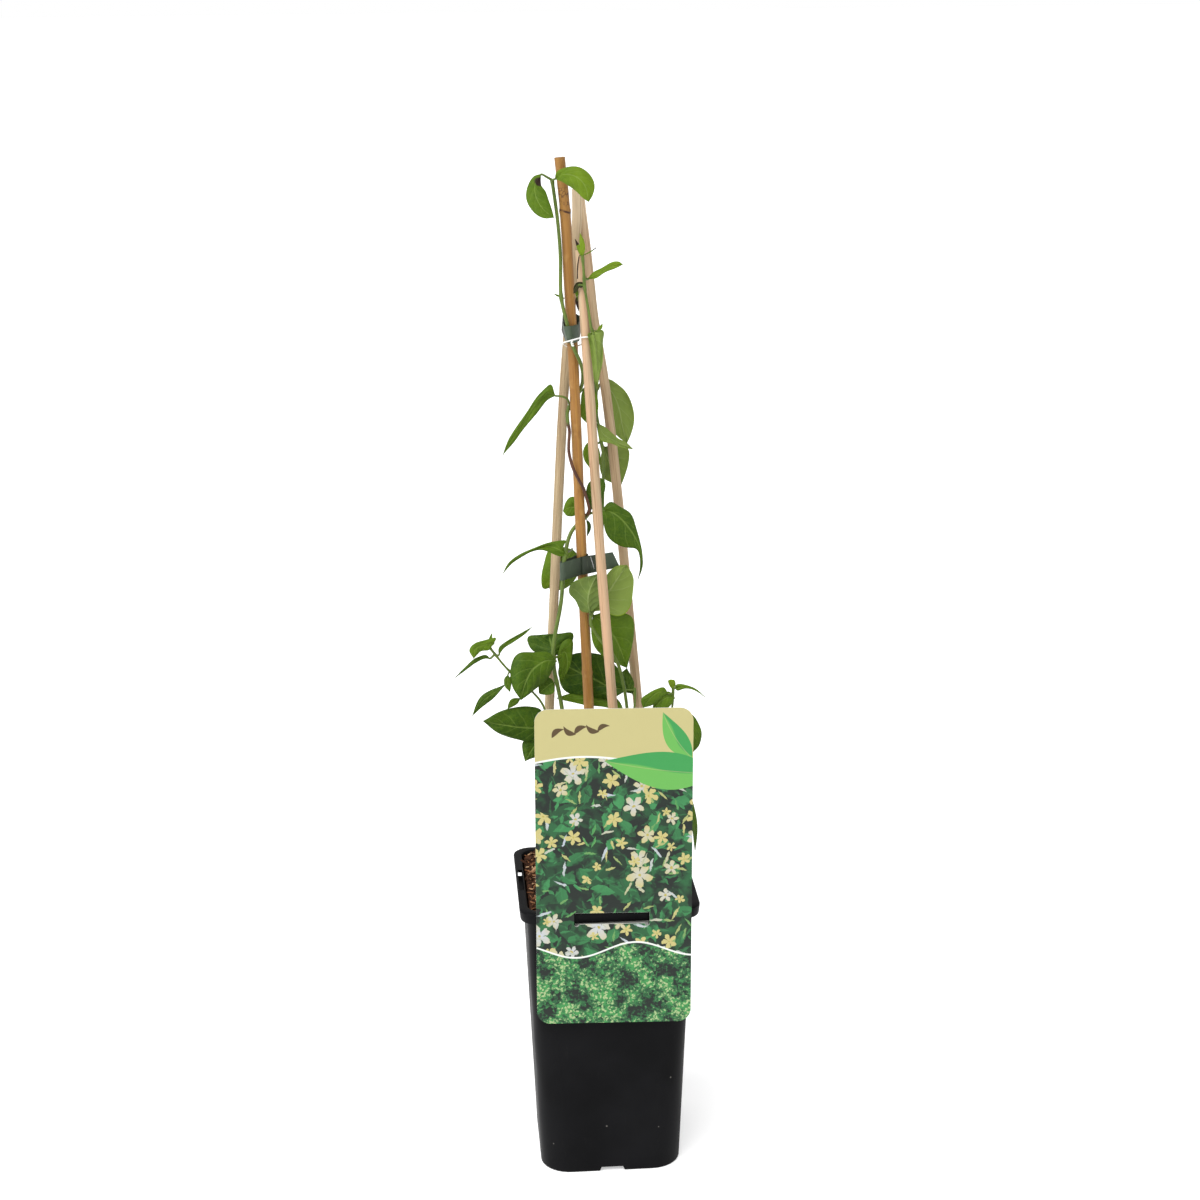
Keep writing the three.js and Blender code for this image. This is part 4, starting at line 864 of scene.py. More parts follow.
def tape_film(name):
    """Garden tape: soft grey-green plastic with fine creases, darker where its tone mark is higher; on the
    upper tape that is painted shade towards its back.
    """
    look = settings("ties")
    n = new_material(name, Specular_IOR_Level=0.4)
    crease = n.noise(n.scaled(n.place(), (1, 1, 0.25)), 500, 3, 0.6)
    green = n.mix(n.attribute("tone"), look.tape, look.tape_dark)
    return n.give(
        Base_Color=n.mix(n.span(crease, 0.5, 0.75, 0, 0.35), green, look.tape_pale),
        Roughness=n.span(crease, 0.3, 0.7, 0.42, 0.6),
        Normal=n.bump(crease, 0.3, 0.0004),
    )


def white_wire(name):
    """White covering of the wire, soiled in places."""
    look = settings("ties")
    n = new_material(name)
    soil = n.noise(n.place(), 600, 3)
    return n.give(
        Base_Color=n.mix(n.span(soil, 0.5, 0.8, 0, 0.4), look.wire, look.wire_soiled),
        Roughness=n.span(soil, 0.3, 0.7, 0.35, 0.55),
    )


def steel_staple(name):
    """Dull steel of the staple."""
    n = new_material(name, Metallic=1.0)
    tarnish = n.noise(n.place(), 1500, 2)
    return n.give(
        Base_Color=n.mix(tarnish, (0.75, 0.75, 0.76, 1), (0.5, 0.5, 0.5, 1)),
        Roughness=n.span(tarnish, 0.3, 0.7, 0.25, 0.45),
    )


def bark_fibres(name):
    """Composted bark and coir: orange-brown to tan fibres, darker in the gaps."""
    look = settings("compost")
    n = new_material(name, Specular_IOR_Level=0.2)
    grit = n.noise(n.place(), 900, 4, 0.7)
    tone = n.clamp(n.attribute("tone") + (grit - 0.5) * 0.9)
    return n.give(
        Base_Color=n.ramp(tone, (0, look.dark), (0.45, look.brown), (0.75, look.orange), (1, look.tan)),
        Roughness=n.span(grit, 0.3, 0.7, 0.75, 0.95),
        Normal=n.bump(grit, 0.6, 0.0008),
    )


def printed_leaf(name):
    """One flat printed leaf: its mask, midrib and lighter half, at a centre, turned and sized."""
    n, given = new_group(name, "Point", "Centre", "Turn", "Length", "Width")
    away = n.vector("SUBTRACT", given["Point"], given["Centre"])
    x, y, _ = n.parts(n.turned(away, given["Turn"]))
    run = n.math("DIVIDE", x, given["Length"])
    bulge = n.clamp(1 - run * run) * (1 + run * -0.35)
    bent = y + run * run * 0.22
    edge = bulge * given["Width"] - abs(bent)
    return n.give(
        Mask=n.span(edge, 0, 0.015),
        Midrib=n.span(edge, 0, 0.05) * n.span(abs(bent), 0.01, 0.04, 1, 0),
        Band=n.span(bent + n.math("SINE", run * 4) * 0.12, -0.12, 0.05),
    )


def strewn_places(n, given):
    """The way from the middle of each print's own cell, and three chances of that cell."""
    cell = n.cells(given["Point"], given["Scale"], "F1", "2D")
    local = n.vector("SUBTRACT", given["Point"], cell["Position"])
    return n.times(local, given["Scale"]), n.parts(cell["Color"])


def scattered_leaves(name):
    """Flat printed leaves strewn over a plane, each turned its own way."""
    n, given = new_group(name, "Point", "Scale", "Width", "Share")
    spread, chance = strewn_places(n, given)
    x, y, _ = n.parts(n.turned(spread, chance[0] * 6.283))
    run = x * 1.7
    edge = (1 - run * run) * (1 + run * -0.3) * given["Width"] - abs(y)
    return n.give(
        Mask=n.span(edge, 0, 0.03) * n.math("LESS_THAN", chance[2], given["Share"]),
        Shade=n.clamp(chance[1] + n.span(y, -0.2, 0.2, -0.12, 0.12)),
        Midrib=n.span(edge, 0, 0.04) * n.span(abs(y), 0, 0.03, 1, 0),
    )


def scattered_blossoms(name):
    """Round five-petalled printed blossoms strewn over a plane, with a warm eye."""
    n, given = new_group(name, "Point", "Scale", "Share")
    spread, chance = strewn_places(n, given)
    x, y, _ = n.parts(spread)
    reach = n.vector("LENGTH", spread)["Value"]
    bearing = n.math("ARCTAN2", y, x) + chance[0] * 6.283
    lobes = n.math("POWER", abs(n.math("COSINE", bearing * 2.5)), 0.8)
    petal = (0.08 + lobes * 0.36) * (0.55 + chance[1] * 0.65)
    there = n.math("LESS_THAN", chance[2], given["Share"])
    return n.give(
        Mask=n.span(petal - reach, 0, 0.03) * there,
        Shade=n.clamp(chance[0] * 0.6 + reach * 1.2),
        Eye=n.span(reach, 0.03, 0.07, 1, 0) * there,
    )


# Leaves printed on the card: centre across and up in cm, turn, half length, half width, in ink.
SPRIG = [
    (4.3, 9.7, 2.1, 2.0, 0.75, False),
    (3.2, 7.3, 3.0, 3.9, 1.35, False),
    (-3.9, 10.3, 0.6, 0.55, 0.2, True),
    (-3.1, 10.2, 2.5, 0.55, 0.2, True),
    (-2.3, 10.5, 0.5, 0.55, 0.2, True),
    (-1.5, 10.3, 2.6, 0.55, 0.2, True),
    (-0.7, 10.6, 0.4, 0.5, 0.18, True),
]


def label_print(name):
    """Face of the card: a cream heading with a leafy sprig, strewn blossoms on foliage, and a
    hedge of small leaves below a white line."""
    look = settings("label")
    n = new_material(name, Coat_Roughness=0.2, Specular_IOR_Level=0.4)
    # Centimetres across and up from the middle of the card, and the same a little ruffled.
    x, _, z = n.parts(n.scaled(n.place(), (100, 100, 100), location=(-0.2, 0, -24.6)))
    flat = n.point(x, z)
    ruffle = n.vector("SUBTRACT", n.noise(flat, 3.5, 3)["Color"], (0.5, 0.5, 0.5))
    ruffled = n.vector("ADD", flat, n.times(ruffle, 0.28))

    def strewn(base, scale, width, dark, light, across, up, share):
        """Printed leaves over what is there already."""
        place = n.vector("ADD", ruffled, (across, up, 0))
        leaves = n.group(scattered_leaves, Point=place, Scale=scale, Width=width, Share=share)
        tint = n.mix(leaves["Shade"], dark, light)
        tint = n.mix(leaves["Midrib"] * 0.4, tint, look.bright)
        return n.mix(leaves["Mask"], base, tint)

    def blooming(base, scale, share, petal, across, up):
        """Printed blossoms over what is there already."""
        place = n.vector("ADD", ruffled, (across, up, 0))
        bloom = n.group(scattered_blossoms, Point=place, Scale=scale, Share=share)
        tint = n.mix(bloom["Shade"], petal, look.cream)
        tint = n.mix(bloom["Eye"], tint, look.eye)
        return n.mix(bloom["Mask"], base, tint)

    def wave(height, pitch, start, swing):
        """How far each point lies above a wavy line across the card."""
        return z - (height + n.math("COSINE", x * pitch + start) * swing)

    # Foliage with blossoms.
    panel = n.mix(n.span(n.noise(flat, 0.55, 4), 0.45, 0.7), look.shade, look.foliage)
    panel = strewn(panel, 0.42, 0.32, look.shade, look.foliage, 3.1, 1.7, 1)
    panel = strewn(panel, 0.62, 0.26, look.foliage, look.bright, 7.3, 9.1, 0.9)
    panel = strewn(panel, 1.3, 0.16, look.shade, look.bright, 1.9, 5.2, 0.7)
    panel = n.mix(n.span(n.noise(flat, 0.9, 3), 0.5, 0.62, 0, 0.8), panel, look.shade)
    panel = strewn(panel, 1.1, 0.1, look.hedge, look.cream, 4.4, 6.2, 0.35)
    panel = blooming(panel, 0.5, 0.5, look.petal, 5.5, 2.4)
    panel = strewn(panel, 0.9, 0.09, look.petal, look.cream, 8.8, 1.2, 0.3)
    panel = blooming(panel, 0.75, 0.32, look.cream, 11.2, 7.9)
    # Hedge.
    crowns = n.noise(ruffled, 0.6, 4, 0.6)
    fine = n.noise(ruffled, 3.6, 4, 0.7)
    lighter = (crowns - 0.5) * 2.2 + (fine * 1.6 + 0.6)
    hedge = n.mix(n.span(lighter, 1.15, 1.38), look.shade, look.foliage)
    hedge = n.mix(n.span(lighter, 1.38, 1.62), hedge, look.hedge)
    hedge = strewn(hedge, 3.4, 0.24, look.foliage, look.hedge, 6.4, 3.6, 0.35)
    hedge = n.mix(n.span(lighter, 1.12, 1.28, 0.9, 0), hedge, look.shade)
    sprigs = n.group(scattered_leaves, Point=ruffled, Scale=4.6, Width=0.34, Share=0.8)
    hedge = n.mix(sprigs["Mask"] * n.span(lighter, 1.36, 1.62) * 0.8, hedge, look.highlight)
    # White line between them, and the heading above.
    fold = wave(-6.15, 0.75, -1.1, 0.55)
    face = n.mix(n.span(fold, -0.02, 0.02), hedge, panel)
    face = n.mix(n.span(abs(fold), 0.05, 0.08, 1, 0), face, look.line)
    brow = wave(8.0, 0.42, 0.9, 0.45)
    face = n.mix(n.span(brow, -0.02, 0.02), face, look.heading)
    face = n.mix(n.span(abs(brow + 0.06), 0.05, 0.09, 1, 0), face, look.line)
    for across, up, turn, length, width, inked in SPRIG:
        placed = {"Centre": (across, up, 0), "Turn": -turn, "Length": length, "Width": width}
        one = n.group(printed_leaf, Point=flat, **placed)
        green = n.mix(one["Band"], look.sprig, look.sprig_light)
        green = n.mix(one["Midrib"] * 0.35, green, look.heading)
        face = n.mix(one["Mask"], face, look.ink if inked else green)
    return n.give(
        Base_Color=face,
        Roughness=n.span(n.noise(n.place(), 30, 2), 0.3, 0.7, 0.3, 0.42),
        Normal=n.bump(n.noise(n.place(), 900, 2), 0.03, 0.0002),
    )


def label_plain(name):
    """Back and cut edges of the card."""
    n = new_material(name, Specular_IOR_Level=0.4)
    fleck = n.noise(n.place(), 700, 3)
    return n.give(
        Base_Color=n.mix(fleck, (0.78, 0.78, 0.74, 1), (0.66, 0.66, 0.62, 1)),
        Roughness=n.span(fleck, 0.3, 0.7, 0.4, 0.55),
        Normal=n.bump(fleck, 0.05, 0.0002),
    )


def studio_white(name):
    """Matt white floor that glows a little to the eye alone, so that its shadows stay pale."""
    n = new_material(name, Specular_IOR_Level=0.1, Emission_Color=(1, 1, 1, 1))
    soft = n.noise(n.place(), 2, 2)
    sight = n.add("ShaderNodeLightPath")["Is Camera Ray"]
    return n.give(
        Base_Color=n.mix(soft, (0.86, 0.86, 0.86, 1), (0.9, 0.9, 0.9, 1)),
        Roughness=n.span(soft, 0.3, 0.7, 0.85, 0.95),
        Emission_Strength=n.span(sight, 0, 1, 0.12, 0.45),
    )

# ---- settings ---------------------------------------------------------------------------------


def size(name, description, default):
    """A length in metres."""
    return bpy.props.FloatProperty(
        name=name, description=description, default=default, min=0, unit="LENGTH", precision=4
    )


def number(name, description, default, subtype="NONE"):
    """A plain number, or an angle in radians."""
    return bpy.props.FloatProperty(name=name, description=description, default=default, subtype=subtype)


def colour(name, description, default):
    """A colour, red, green and blue."""
    return bpy.props.FloatVectorProperty(
        name=name, description=description, default=default, min=0, max=1, size=3, subtype="COLOR"
    )


class PotSettings(bpy.types.PropertyGroup):
    base_half: size("Base half width", "Half the width of the pot at its base", 0.0516)
    top_half: size("Top half width", "Half the width of the pot's wall at its top", 0.0597)
    height: size("Height", "Height of the pot", 0.2125)
    rim_half: size("Rim half width", "Half the width of the rim", 0.065)
    base_corner: size("Base corner", "Corner radius at the base", 0.022)
    top_corner: size("Top corner", "Corner radius of the wall at its top", 0.011)
    rim_corner: size("Rim corner", "Corner radius of the rim", 0.013)
    wall: size("Wall", "Thickness of the wall", 0.0013)
    colour: colour("Plastic", "Moulded plastic", (0.0045, 0.0045, 0.005))
    colour_worn: colour("Worn plastic", "Paler clouds in the plastic", (0.008, 0.008, 0.009))
    colour_dust: colour("Dust", "Dust and scuffs", (0.2, 0.19, 0.17))


class CompostSettings(bpy.types.PropertyGroup):
    level: size("Level", "Height of the compost", 0.2112)
    flakes: bpy.props.IntProperty(name="Flakes", description="Number of bark flakes", default=1700, min=1)
    dark: colour("Dark", "Gaps between the fibres", (0.02, 0.009, 0.004))
    brown: colour("Brown", "Most of the bark", (0.085, 0.032, 0.0144))
    orange: colour("Orange", "Fresh bark", (0.279, 0.115, 0.0475))
    tan: colour("Tan", "Bare fibres", (0.6, 0.4, 0.23))


class CaneSettings(bpy.types.PropertyGroup):
    bamboo_radius: size("Bamboo radius", "Radius of the bamboo cane", 0.0037)
    pale_radius: size("Pale cane radius", "Radius of the pale canes", 0.0035)
    bamboo: colour("Bamboo", "Golden bamboo skin", (0.41, 0.207, 0.0451))
    bamboo_deep: colour("Deep bamboo", "Darker streaks and blotches", (0.29, 0.13, 0.028))
    bamboo_pale: colour("Pale bamboo", "Paler patches", (0.519, 0.315, 0.0902))
    ring_height: size("Ring height", "Height of the scarred upper ring of the bamboo", 0.698)
    bamboo_scar: colour("Scar", "Rings and scars at the nodes", (0.06, 0.02, 0.008))
    pale: colour("Pale cane", "Split cane", (0.564, 0.446, 0.279))
    pale_deep: colour("Deep cane", "Darker grain of the split cane", (0.386, 0.281, 0.16))
    pale_pink: colour("Pink cast", "Pink cast of the split cane", (0.601, 0.37, 0.225))
    # Painted light on the upper ends of the split canes.
    pale_top: colour("Painted light", "Bleached ends of the split canes", (0.85, 0.68, 0.46))
    pale_fibre: colour("Fibre", "Dark fibres in the split cane", (0.18, 0.085, 0.032))


class TieSettings(bpy.types.PropertyGroup):
    tape_thickness: size("Tape", "Thickness of the tape", 0.0007)
    tape: colour("Tape", "Grey-green tape", (0.06, 0.09, 0.055))
    # Dark tape is the darker colour of the lower tape and the painted shade on the back of the upper tape.
    tape_dark: colour("Dark tape", "Darker tape", (0.02, 0.028, 0.016))
    tape_pale: colour("Crease", "Paler creases", (0.11, 0.15, 0.09))
    wire: colour("Wire", "Covered wire", (0.86, 0.86, 0.84))
    wire_soiled: colour("Soiled wire", "Soiled covering", (0.5, 0.42, 0.36))


class LabelSettings(bpy.types.PropertyGroup):
    width: size("Width", "Width of the card", 0.11)
    foot: size("Foot", "Height of the card's lower edge", 0.128)
    head: size("Head", "Height of the card's upper edge", 0.3646)
    thickness: size("Thickness", "Thickness of the card", 0.0006)
    heading: colour("Heading", "Cream heading", (0.512, 0.461, 0.205))
    sprig_light: colour("Light leaf", "Lighter half of the leaves over the heading", (0.13, 0.42, 0.08))
    ink: colour("Ink", "Dark leaflets on the heading", (0.09, 0.055, 0.02))
    sprig: colour("Sprig", "Leaves of the sprig", (0.04, 0.3, 0.07))
    shade: colour("Shade", "Shade between the leaves", (0.00675, 0.0132, 0.009))
    foliage: colour("Foliage", "Printed foliage", (0.0182, 0.112, 0.0361))
    bright: colour("Bright leaf", "Brightest printed leaves", (0.045, 0.25, 0.08))
    petal: colour("Petal", "White petals", (0.5, 0.54, 0.64))
    cream: colour("Cream petal", "Cream petals", (0.52, 0.46, 0.18))
    eye: colour("Eye", "Eye of a blossom", (0.42, 0.36, 0.08))
    highlight: colour("Highlight", "Sunlit leaflets in the hedge", (0.45, 0.55, 0.27))
    hedge: colour("Hedge", "Small leaves of the hedge", (0.05, 0.27, 0.07))
    line: colour("Line", "White lines", (0.8, 0.82, 0.78))


class ShootSettings(bpy.types.PropertyGroup):
    leaf_thickness: size("Leaf thickness", "Thickness of a leaf", 0.0004)
    # The deep and bright leaf colours, picked by each leaf's tone, carry painted shade and painted light as
    # well as age.
    leaf_deep: colour("Deep leaf", "Old leaves and painted shade", (0.017, 0.056, 0.004))
    leaf_green: colour("Leaf", "Leaves in full growth", (0.092, 0.17, 0.008))
    leaf_bright: colour("Bright leaf", "Young leaves and painted light", (0.21, 0.31, 0.014))
    vein: colour("Vein", "Veins on the upper side", (0.24, 0.34, 0.07))
    underside: colour("Underside", "Underside of a leaf", (0.189, 0.265, 0.0525))
    underside_deep: colour("Deep underside", "Darker patches of the underside", (0.11, 0.165, 0.038))
    underside_vein: colour("Underside vein", "Raised veins", (0.3, 0.38, 0.13))
    withered: colour("Withered", "Withered leaf", (0.03, 0.018, 0.012))
    stem_green: colour("Stem", "Green stem", (0.15, 0.215, 0.035))
    stem_deep: colour("Deep stem", "Shaded side of the stem", (0.07, 0.115, 0.015))
    stem_brown: colour("Brown stem", "Ripened stem", (0.05, 0.017, 0.012))
    stem_tan: colour("Tan stem", "Bark of a ripened stem", (0.14, 0.06, 0.03))


class StageSettings(bpy.types.PropertyGroup):
    camera_place: bpy.props.FloatVectorProperty(
        name="Camera",
        description="Place of the camera",
        default=(-0.1143, -1.5237, 0.8441),
        subtype="TRANSLATION",
    )
    heading: number("Heading", "Camera turn from the front", math.radians(4.26), "ANGLE")
    pitch: number("Pitch", "Camera tilt downwards", math.radians(15.38), "ANGLE")
    roll: number("Roll", "Camera roll", -0.0108, "ANGLE")
    lens: number("Lens", "Focal length in millimetres", 66.82)
    floor: size("Floor", "Width of the floor", 160.0)
    sun: number("Sky light", "Strength of the soft light from above", 2.4)
    ambient: number("Surround", "Strength of the light from all round", 0.55)
    side_power: number("Side lamp", "Power of the side lamp in watts", 6)

# ---- pot --------------------------------------------------------------------------------------


def square_ring(half, corner, z, steps=9, between=4):
    """Level square outline with round corners, anticlockwise."""
    ring = []
    inner = half - corner
    for quarter in range(4):
        start = quarter * math.pi / 2
        cx = math.copysign(inner, math.cos(start + math.pi / 4))
        cy = math.copysign(inner, math.sin(start + math.pi / 4))
        for i in range(steps + 1):
            angle = start + i / steps * math.pi / 2
            ring.append(Vector((cx + corner * math.cos(angle), cy + corner * math.sin(angle), z)))
        ahead = start + math.pi / 2
        step = Vector((-math.sin(ahead), math.cos(ahead), 0)) * (2 * inner / (between + 1))
        ring += [ring[-1] + step * i for i in range(1, between + 1)]
    return ring


def skin(name, rings, capped=True):
    """A skin drawn from ring to ring of equal length by extruding a circle's edge."""
    piece = fresh(name, bpy.ops.mesh.primitive_circle_add, vertices=len(rings[0]), radius=1)
    for vertex, place in zip(piece.data.vertices, rings[0]):
        vertex.co = place
    extrude = bpy.ops.mesh.extrude_region_move if capped else bpy.ops.mesh.extrude_edges_move
    with editing():
        if capped:
            bpy.ops.mesh.edge_face_add()
        for before, after in zip(rings, rings[1:]):
            tree = finder(before)
            extrude()
            mesh = bmesh.from_edit_mesh(piece.data)
            for vertex in mesh.verts:
                if vertex.select:
                    vertex.co = after[tree.find(vertex.co)[1]]
            bmesh.update_edit_mesh(piece.data)
        turn_outwards()
    return piece


def block(name, low, high, bevel=0.0):
    """Cutter or bar between two corners, its edges rounded where asked."""
    middle = (Vector(low) + Vector(high)) / 2
    piece = fresh(name, bpy.ops.mesh.primitive_cube_add, size=1, location=middle)
    piece.scale = Vector(high) - Vector(low)
    fix_place()
    if bevel:
        with editing():
            bpy.ops.mesh.bevel(offset=bevel, segments=3)
    return piece


def rod(name, radius, depth, location, rotation=(0, 0, 0)):
    """Round cutter, made along its own z axis."""
    how = {"vertices": 24, "radius": radius, "depth": depth, "location": location, "rotation": rotation}
    piece = fresh(name, bpy.ops.mesh.primitive_cylinder_add, **how)
    fix_place()
    return piece


def cut(piece, cutters):
    """Takes the cutters out of a piece."""
    tool = join(cutters, piece.name + "_cutter")
    take(piece)
    modifier = piece.modifiers.new("cut", "BOOLEAN")
    modifier.operation = "DIFFERENCE"
    modifier.object = tool
    modifier.solver = "EXACT"
    modifier.use_self = True
    apply_all(piece)
    bpy.data.objects.remove(tool)


def pot_rings(look):
    """Outline of the pot from the middle of its underside, up its wall, round its rim and down
    inside, as rings."""
    top = look.height
    rim, turn, wall = look.rim_half, look.rim_corner, look.wall

    def outside(z, grow=0.0):
        share = z / top
        half = look.base_half + (look.top_half - look.base_half) * share
        corner = look.base_corner + (look.top_corner - look.base_corner) * share
        return half + grow, corner + min(grow, 0), z

    rings = [
        outside(0, -0.004),
        outside(0, -0.0012),
        outside(0.0003, -0.0005),
        outside(0.0011, -0.00005),
        outside(0.0022),
        outside(0.06),
        outside(0.12),
        outside(0.18),
        outside(top - 0.0035),
        outside(top - 0.0024, 0.0004),
        (rim - 0.0021, turn - 0.0014, top - 0.0022),
        (rim - 0.0024, turn - 0.0014, top - 0.0045),
        (rim - 0.0025, turn - 0.0014, top - 0.0079),
        (rim - 0.0022, turn - 0.0012, top - 0.0084),
        (rim - 0.0013, turn - 0.0004, top - 0.0084),
        (rim - 0.001, turn, top - 0.0079),
        (rim - 0.0004, turn, top - 0.0025),
        (rim - 0.0003, turn, top - 0.0012),
        (rim - 0.0006, turn, top - 0.0004),
        (rim - 0.0013, turn - 0.0004, top),
        (rim - 0.0042, turn - 0.001, top - 0.0001),
        (look.top_half + 0.0002, look.top_corner + 0.0005, top),
        (look.top_half - 0.0008, look.top_corner, top - 0.0003),
        (look.top_half - wall, look.top_corner - 0.0006, top - 0.0012),
        outside(0.19, -wall),
        outside(0.12, -wall),
        outside(0.02, -wall),
        outside(0.0065, -wall - 0.0005),
        outside(0.0048, -wall - 0.003),
    ]
    return [square_ring(*ring) for ring in rings]


def add_pot(look):
    """Pot with its turned-down rim, ledge slots, base arches and drain holes."""
    piece = skin("pot_shell", pot_rings(look))
    with editing():
        bpy.ops.mesh.select_all(action="DESELECT")
        bpy.ops.mesh.select_non_manifold(extend=False)
        bpy.ops.mesh.edge_face_add()
        turn_outwards()
    # Slots in the ledge between two square outlines, as corners: front, back, left and right.
    top, near, far, half = look.height, 0.0596, 0.063, 0.0195
    slots = [(-0.027, -far, 0.028, -near), (-half, near, half, far), (-far, -half, -near, half)]
    slots.append((near, -half, far, half))
    cutters = []
    for x, y, to_x, to_y in slots:
        cutters.append(block("slot", (x, y, top - 0.006), (to_x, to_y, top + 0.004), 0.0006))
    for side in range(4):
        arch = block("arch", (-0.011, -0.06, -0.004), (0.011, -0.0195, 0.0036))
        for vertex in arch.data.vertices:
            if vertex.co.z > 0:
                vertex.co.x *= 0.72
        inset = look.base_half - 0.0185
        holes = rod("drain", 0.0035, 0.03, (0, -0.037, 0)), rod("drain", 0.0045, 0.03, (inset, -inset, 0))
        for cutter in (arch, *holes):
            cutter.data.transform(Matrix.Rotation(side * math.pi / 2, 4, "Z"))
            cutters.append(cutter)
    cut(piece, cutters)
    # Webs that close the side slots below.
    ends = ((-0.0635, -0.0586), (0.0586, 0.0635))
    webs = [block("web", (x, -0.0182, top - 0.0062), (to_x, 0.0205, top - 0.0052)) for x, to_x in ends]
    piece = join([piece, *webs], "pot_shell")
    finish(piece, 30, satin_plastic, "pot")


# ---- compost ----------------------------------------------------------------------------------


def soil_height(x, y, level):
    """Height of the uneven compost, all in metres."""
    a, b = x / MM, y / MM
    waves = 1.1 * math.sin(a * 0.13 + 1) * math.cos(b * 0.11) + 0.7 * math.sin(a * 0.31 + b * 0.23)
    return level + (waves - 0.0001 * (a * a + b * b)) * MM


def add_compost(look):
    """Bed of compost, with bark flakes and fibres strewn over it."""
    grid = {"x_subdivisions": 110, "y_subdivisions": 110, "size": 0.1146}
    bed = fresh("compost_bed", bpy.ops.mesh.primitive_grid_add, **grid)
    half, corner = grid["size"] / 2, 0.0105
    tones = []
    for vertex in bed.data.vertices:
        x, y = vertex.co.x, vertex.co.y
        out = Vector((abs(x) - (half - corner), abs(y) - (half - corner)))
        if out.x > 0 and out.y > 0 and out.length > corner:
            out = out.normalized() * corner
            x = math.copysign(half - corner + out.x, x)
            y = math.copysign(half - corner + out.y, y)
        rough = noise.fractal(Vector((x, y, 0.3)) * 260, 0.8, 2.0, 4)
        edge = max(abs(x), abs(y)) > half - 0.0005
        z = soil_height(x, y, look.level) - 0.0012 + 0.0012 * rough - (0.002 if edge else 0)
        vertex.co = Vector((x, y, z))
        # Painted shade: the bed's tone follows its roughness, so it is darker where it lies lower, in its
        # hollows.
        tones.append(0.2 + 0.4 * rough)
    mark(bed, "tone", tones)
    flakes = strew_flakes(look)
    for piece, degrees in ((bed, 180), (flakes, 50)):
        finish(piece, degrees, bark_fibres, "soil")


def flake_shapes(chance):
    """A few bark flakes and thinner fibres to copy, each one unit long."""
    shapes = []
    for kind in range(7):
        broad = kind < 3
        shape = fresh("flake", bpy.ops.mesh.primitive_cube_add, size=1)
        shape.scale = (1, 0.4, 0.2) if broad else (1, 0.14, 0.11)
        fix_place()
        with editing():
            bpy.ops.mesh.bevel(offset=0.07 if broad else 0.03, segments=1)
        for vertex in shape.data.vertices:
            bend = 0.25 * vertex.co.x * vertex.co.x
            jolt = Vector([chance.uniform(-0.06, 0.06) for _ in range(3)])
            vertex.co += jolt * (1 if broad else 0.5) + Vector((0, 0, bend))
        shapes.append(shape)
    return shapes


def strew_flakes(look):
    """Bark flakes and fibres over the compost, every twelfth a long one."""
    chance = random.Random(11)
    shapes = flake_shapes(chance)
    flakes = []
    reach = 0.0562
    for i in range(look.flakes):
        flake = bpy.data.objects.new("flake", chance.choice(shapes).data.copy())
        bpy.context.scene.collection.objects.link(flake)
        x, y = chance.uniform(-reach, reach), chance.uniform(-reach, reach)
        long = chance.uniform(0.0022, 0.0048) if i % 12 else chance.uniform(0.006, 0.011)
        z = soil_height(x, y, look.level) + chance.uniform(-0.0012, 0.0008)
        turn = Matrix.Rotation(chance.uniform(0, 6.28), 4, "Z")
        tilt = Matrix.Rotation(chance.gauss(0, 0.35), 4, "Y") @ Matrix.Rotation(chance.gauss(0, 0.3), 4, "X")
        flake.data.transform(Matrix.Translation((x, y, z)) @ turn @ tilt @ Matrix.Scale(long, 4))
        mark(flake, "tone", chance.uniform(0.1, 1.0))
        flakes.append(flake)
    for shape in shapes:
        bpy.data.objects.remove(shape)
    return join(flakes, "compost_flakes")


# ---- canes ------------------------------------------------------------------------------------


def from_ring(cane, z):
    """How far a height is from the nearest ring of a cane, in millimetres."""
    return min((abs(z - ring) for ring in cane["rings"]), default=99)


def add_cane(name, look):
    """Cane along its slight bow, swollen at its rings, its upper end cut flat."""
    cane = CANES[name]
    is_bamboo = name == "bamboo"
    radius = (look.bamboo_radius if is_bamboo else look.pale_radius) / MM
    line = along(cane["line"], 320 if is_bamboo else 90)
    radii = []
    for point in line:
        # Each ring is a ridge between two shallow grooves.
        near = from_ring(cane, point.z)
        swell = 0.5 * math.exp(-((near / 1.9) ** 2)) - 0.22 * math.exp(-(((near - 1.2) / 0.5) ** 2))
        sway = 0.09 * noise.noise(point * 0.06 + Vector((len(name), 0, 0)))
        radii.append(radius * (1 + sway * 0.4) + swell)
    piece = tube(cane["node"] + "_skin", line, radii, 5)
    with editing("FACE"):
        mesh = bmesh.from_edit_mesh(piece.data)
        for face in mesh.faces:
            face.select = len(face.verts) > 4 and face.normal.z > 0.8
        mesh.select_flush_mode()
        bmesh.update_edit_mesh(piece.data)
        bpy.ops.mesh.inset(thickness=0.0003, depth=0)
        if is_bamboo:
            bpy.ops.mesh.inset(thickness=0.0009, depth=0)
            bpy.ops.mesh.extrude_region_move(TRANSFORM_OT_translate={"value": (0, 0, -0.004)})
    scars = []
    for vertex in piece.data.vertices:
        z = vertex.co.z / MM
        scar = 0.9 * math.exp(-(((from_ring(cane, z) - 1.0) / 0.7) ** 2))
        scars.append(0.0 if z > line[0].z - 0.2 else scar)
    mark(piece, "ring", scars)
    mark(piece, "tint", cane["tint"])
    finish(piece, 50, golden_bamboo if is_bamboo else split_cane, cane["node"])


# ---- ties -------------------------------------------------------------------------------------


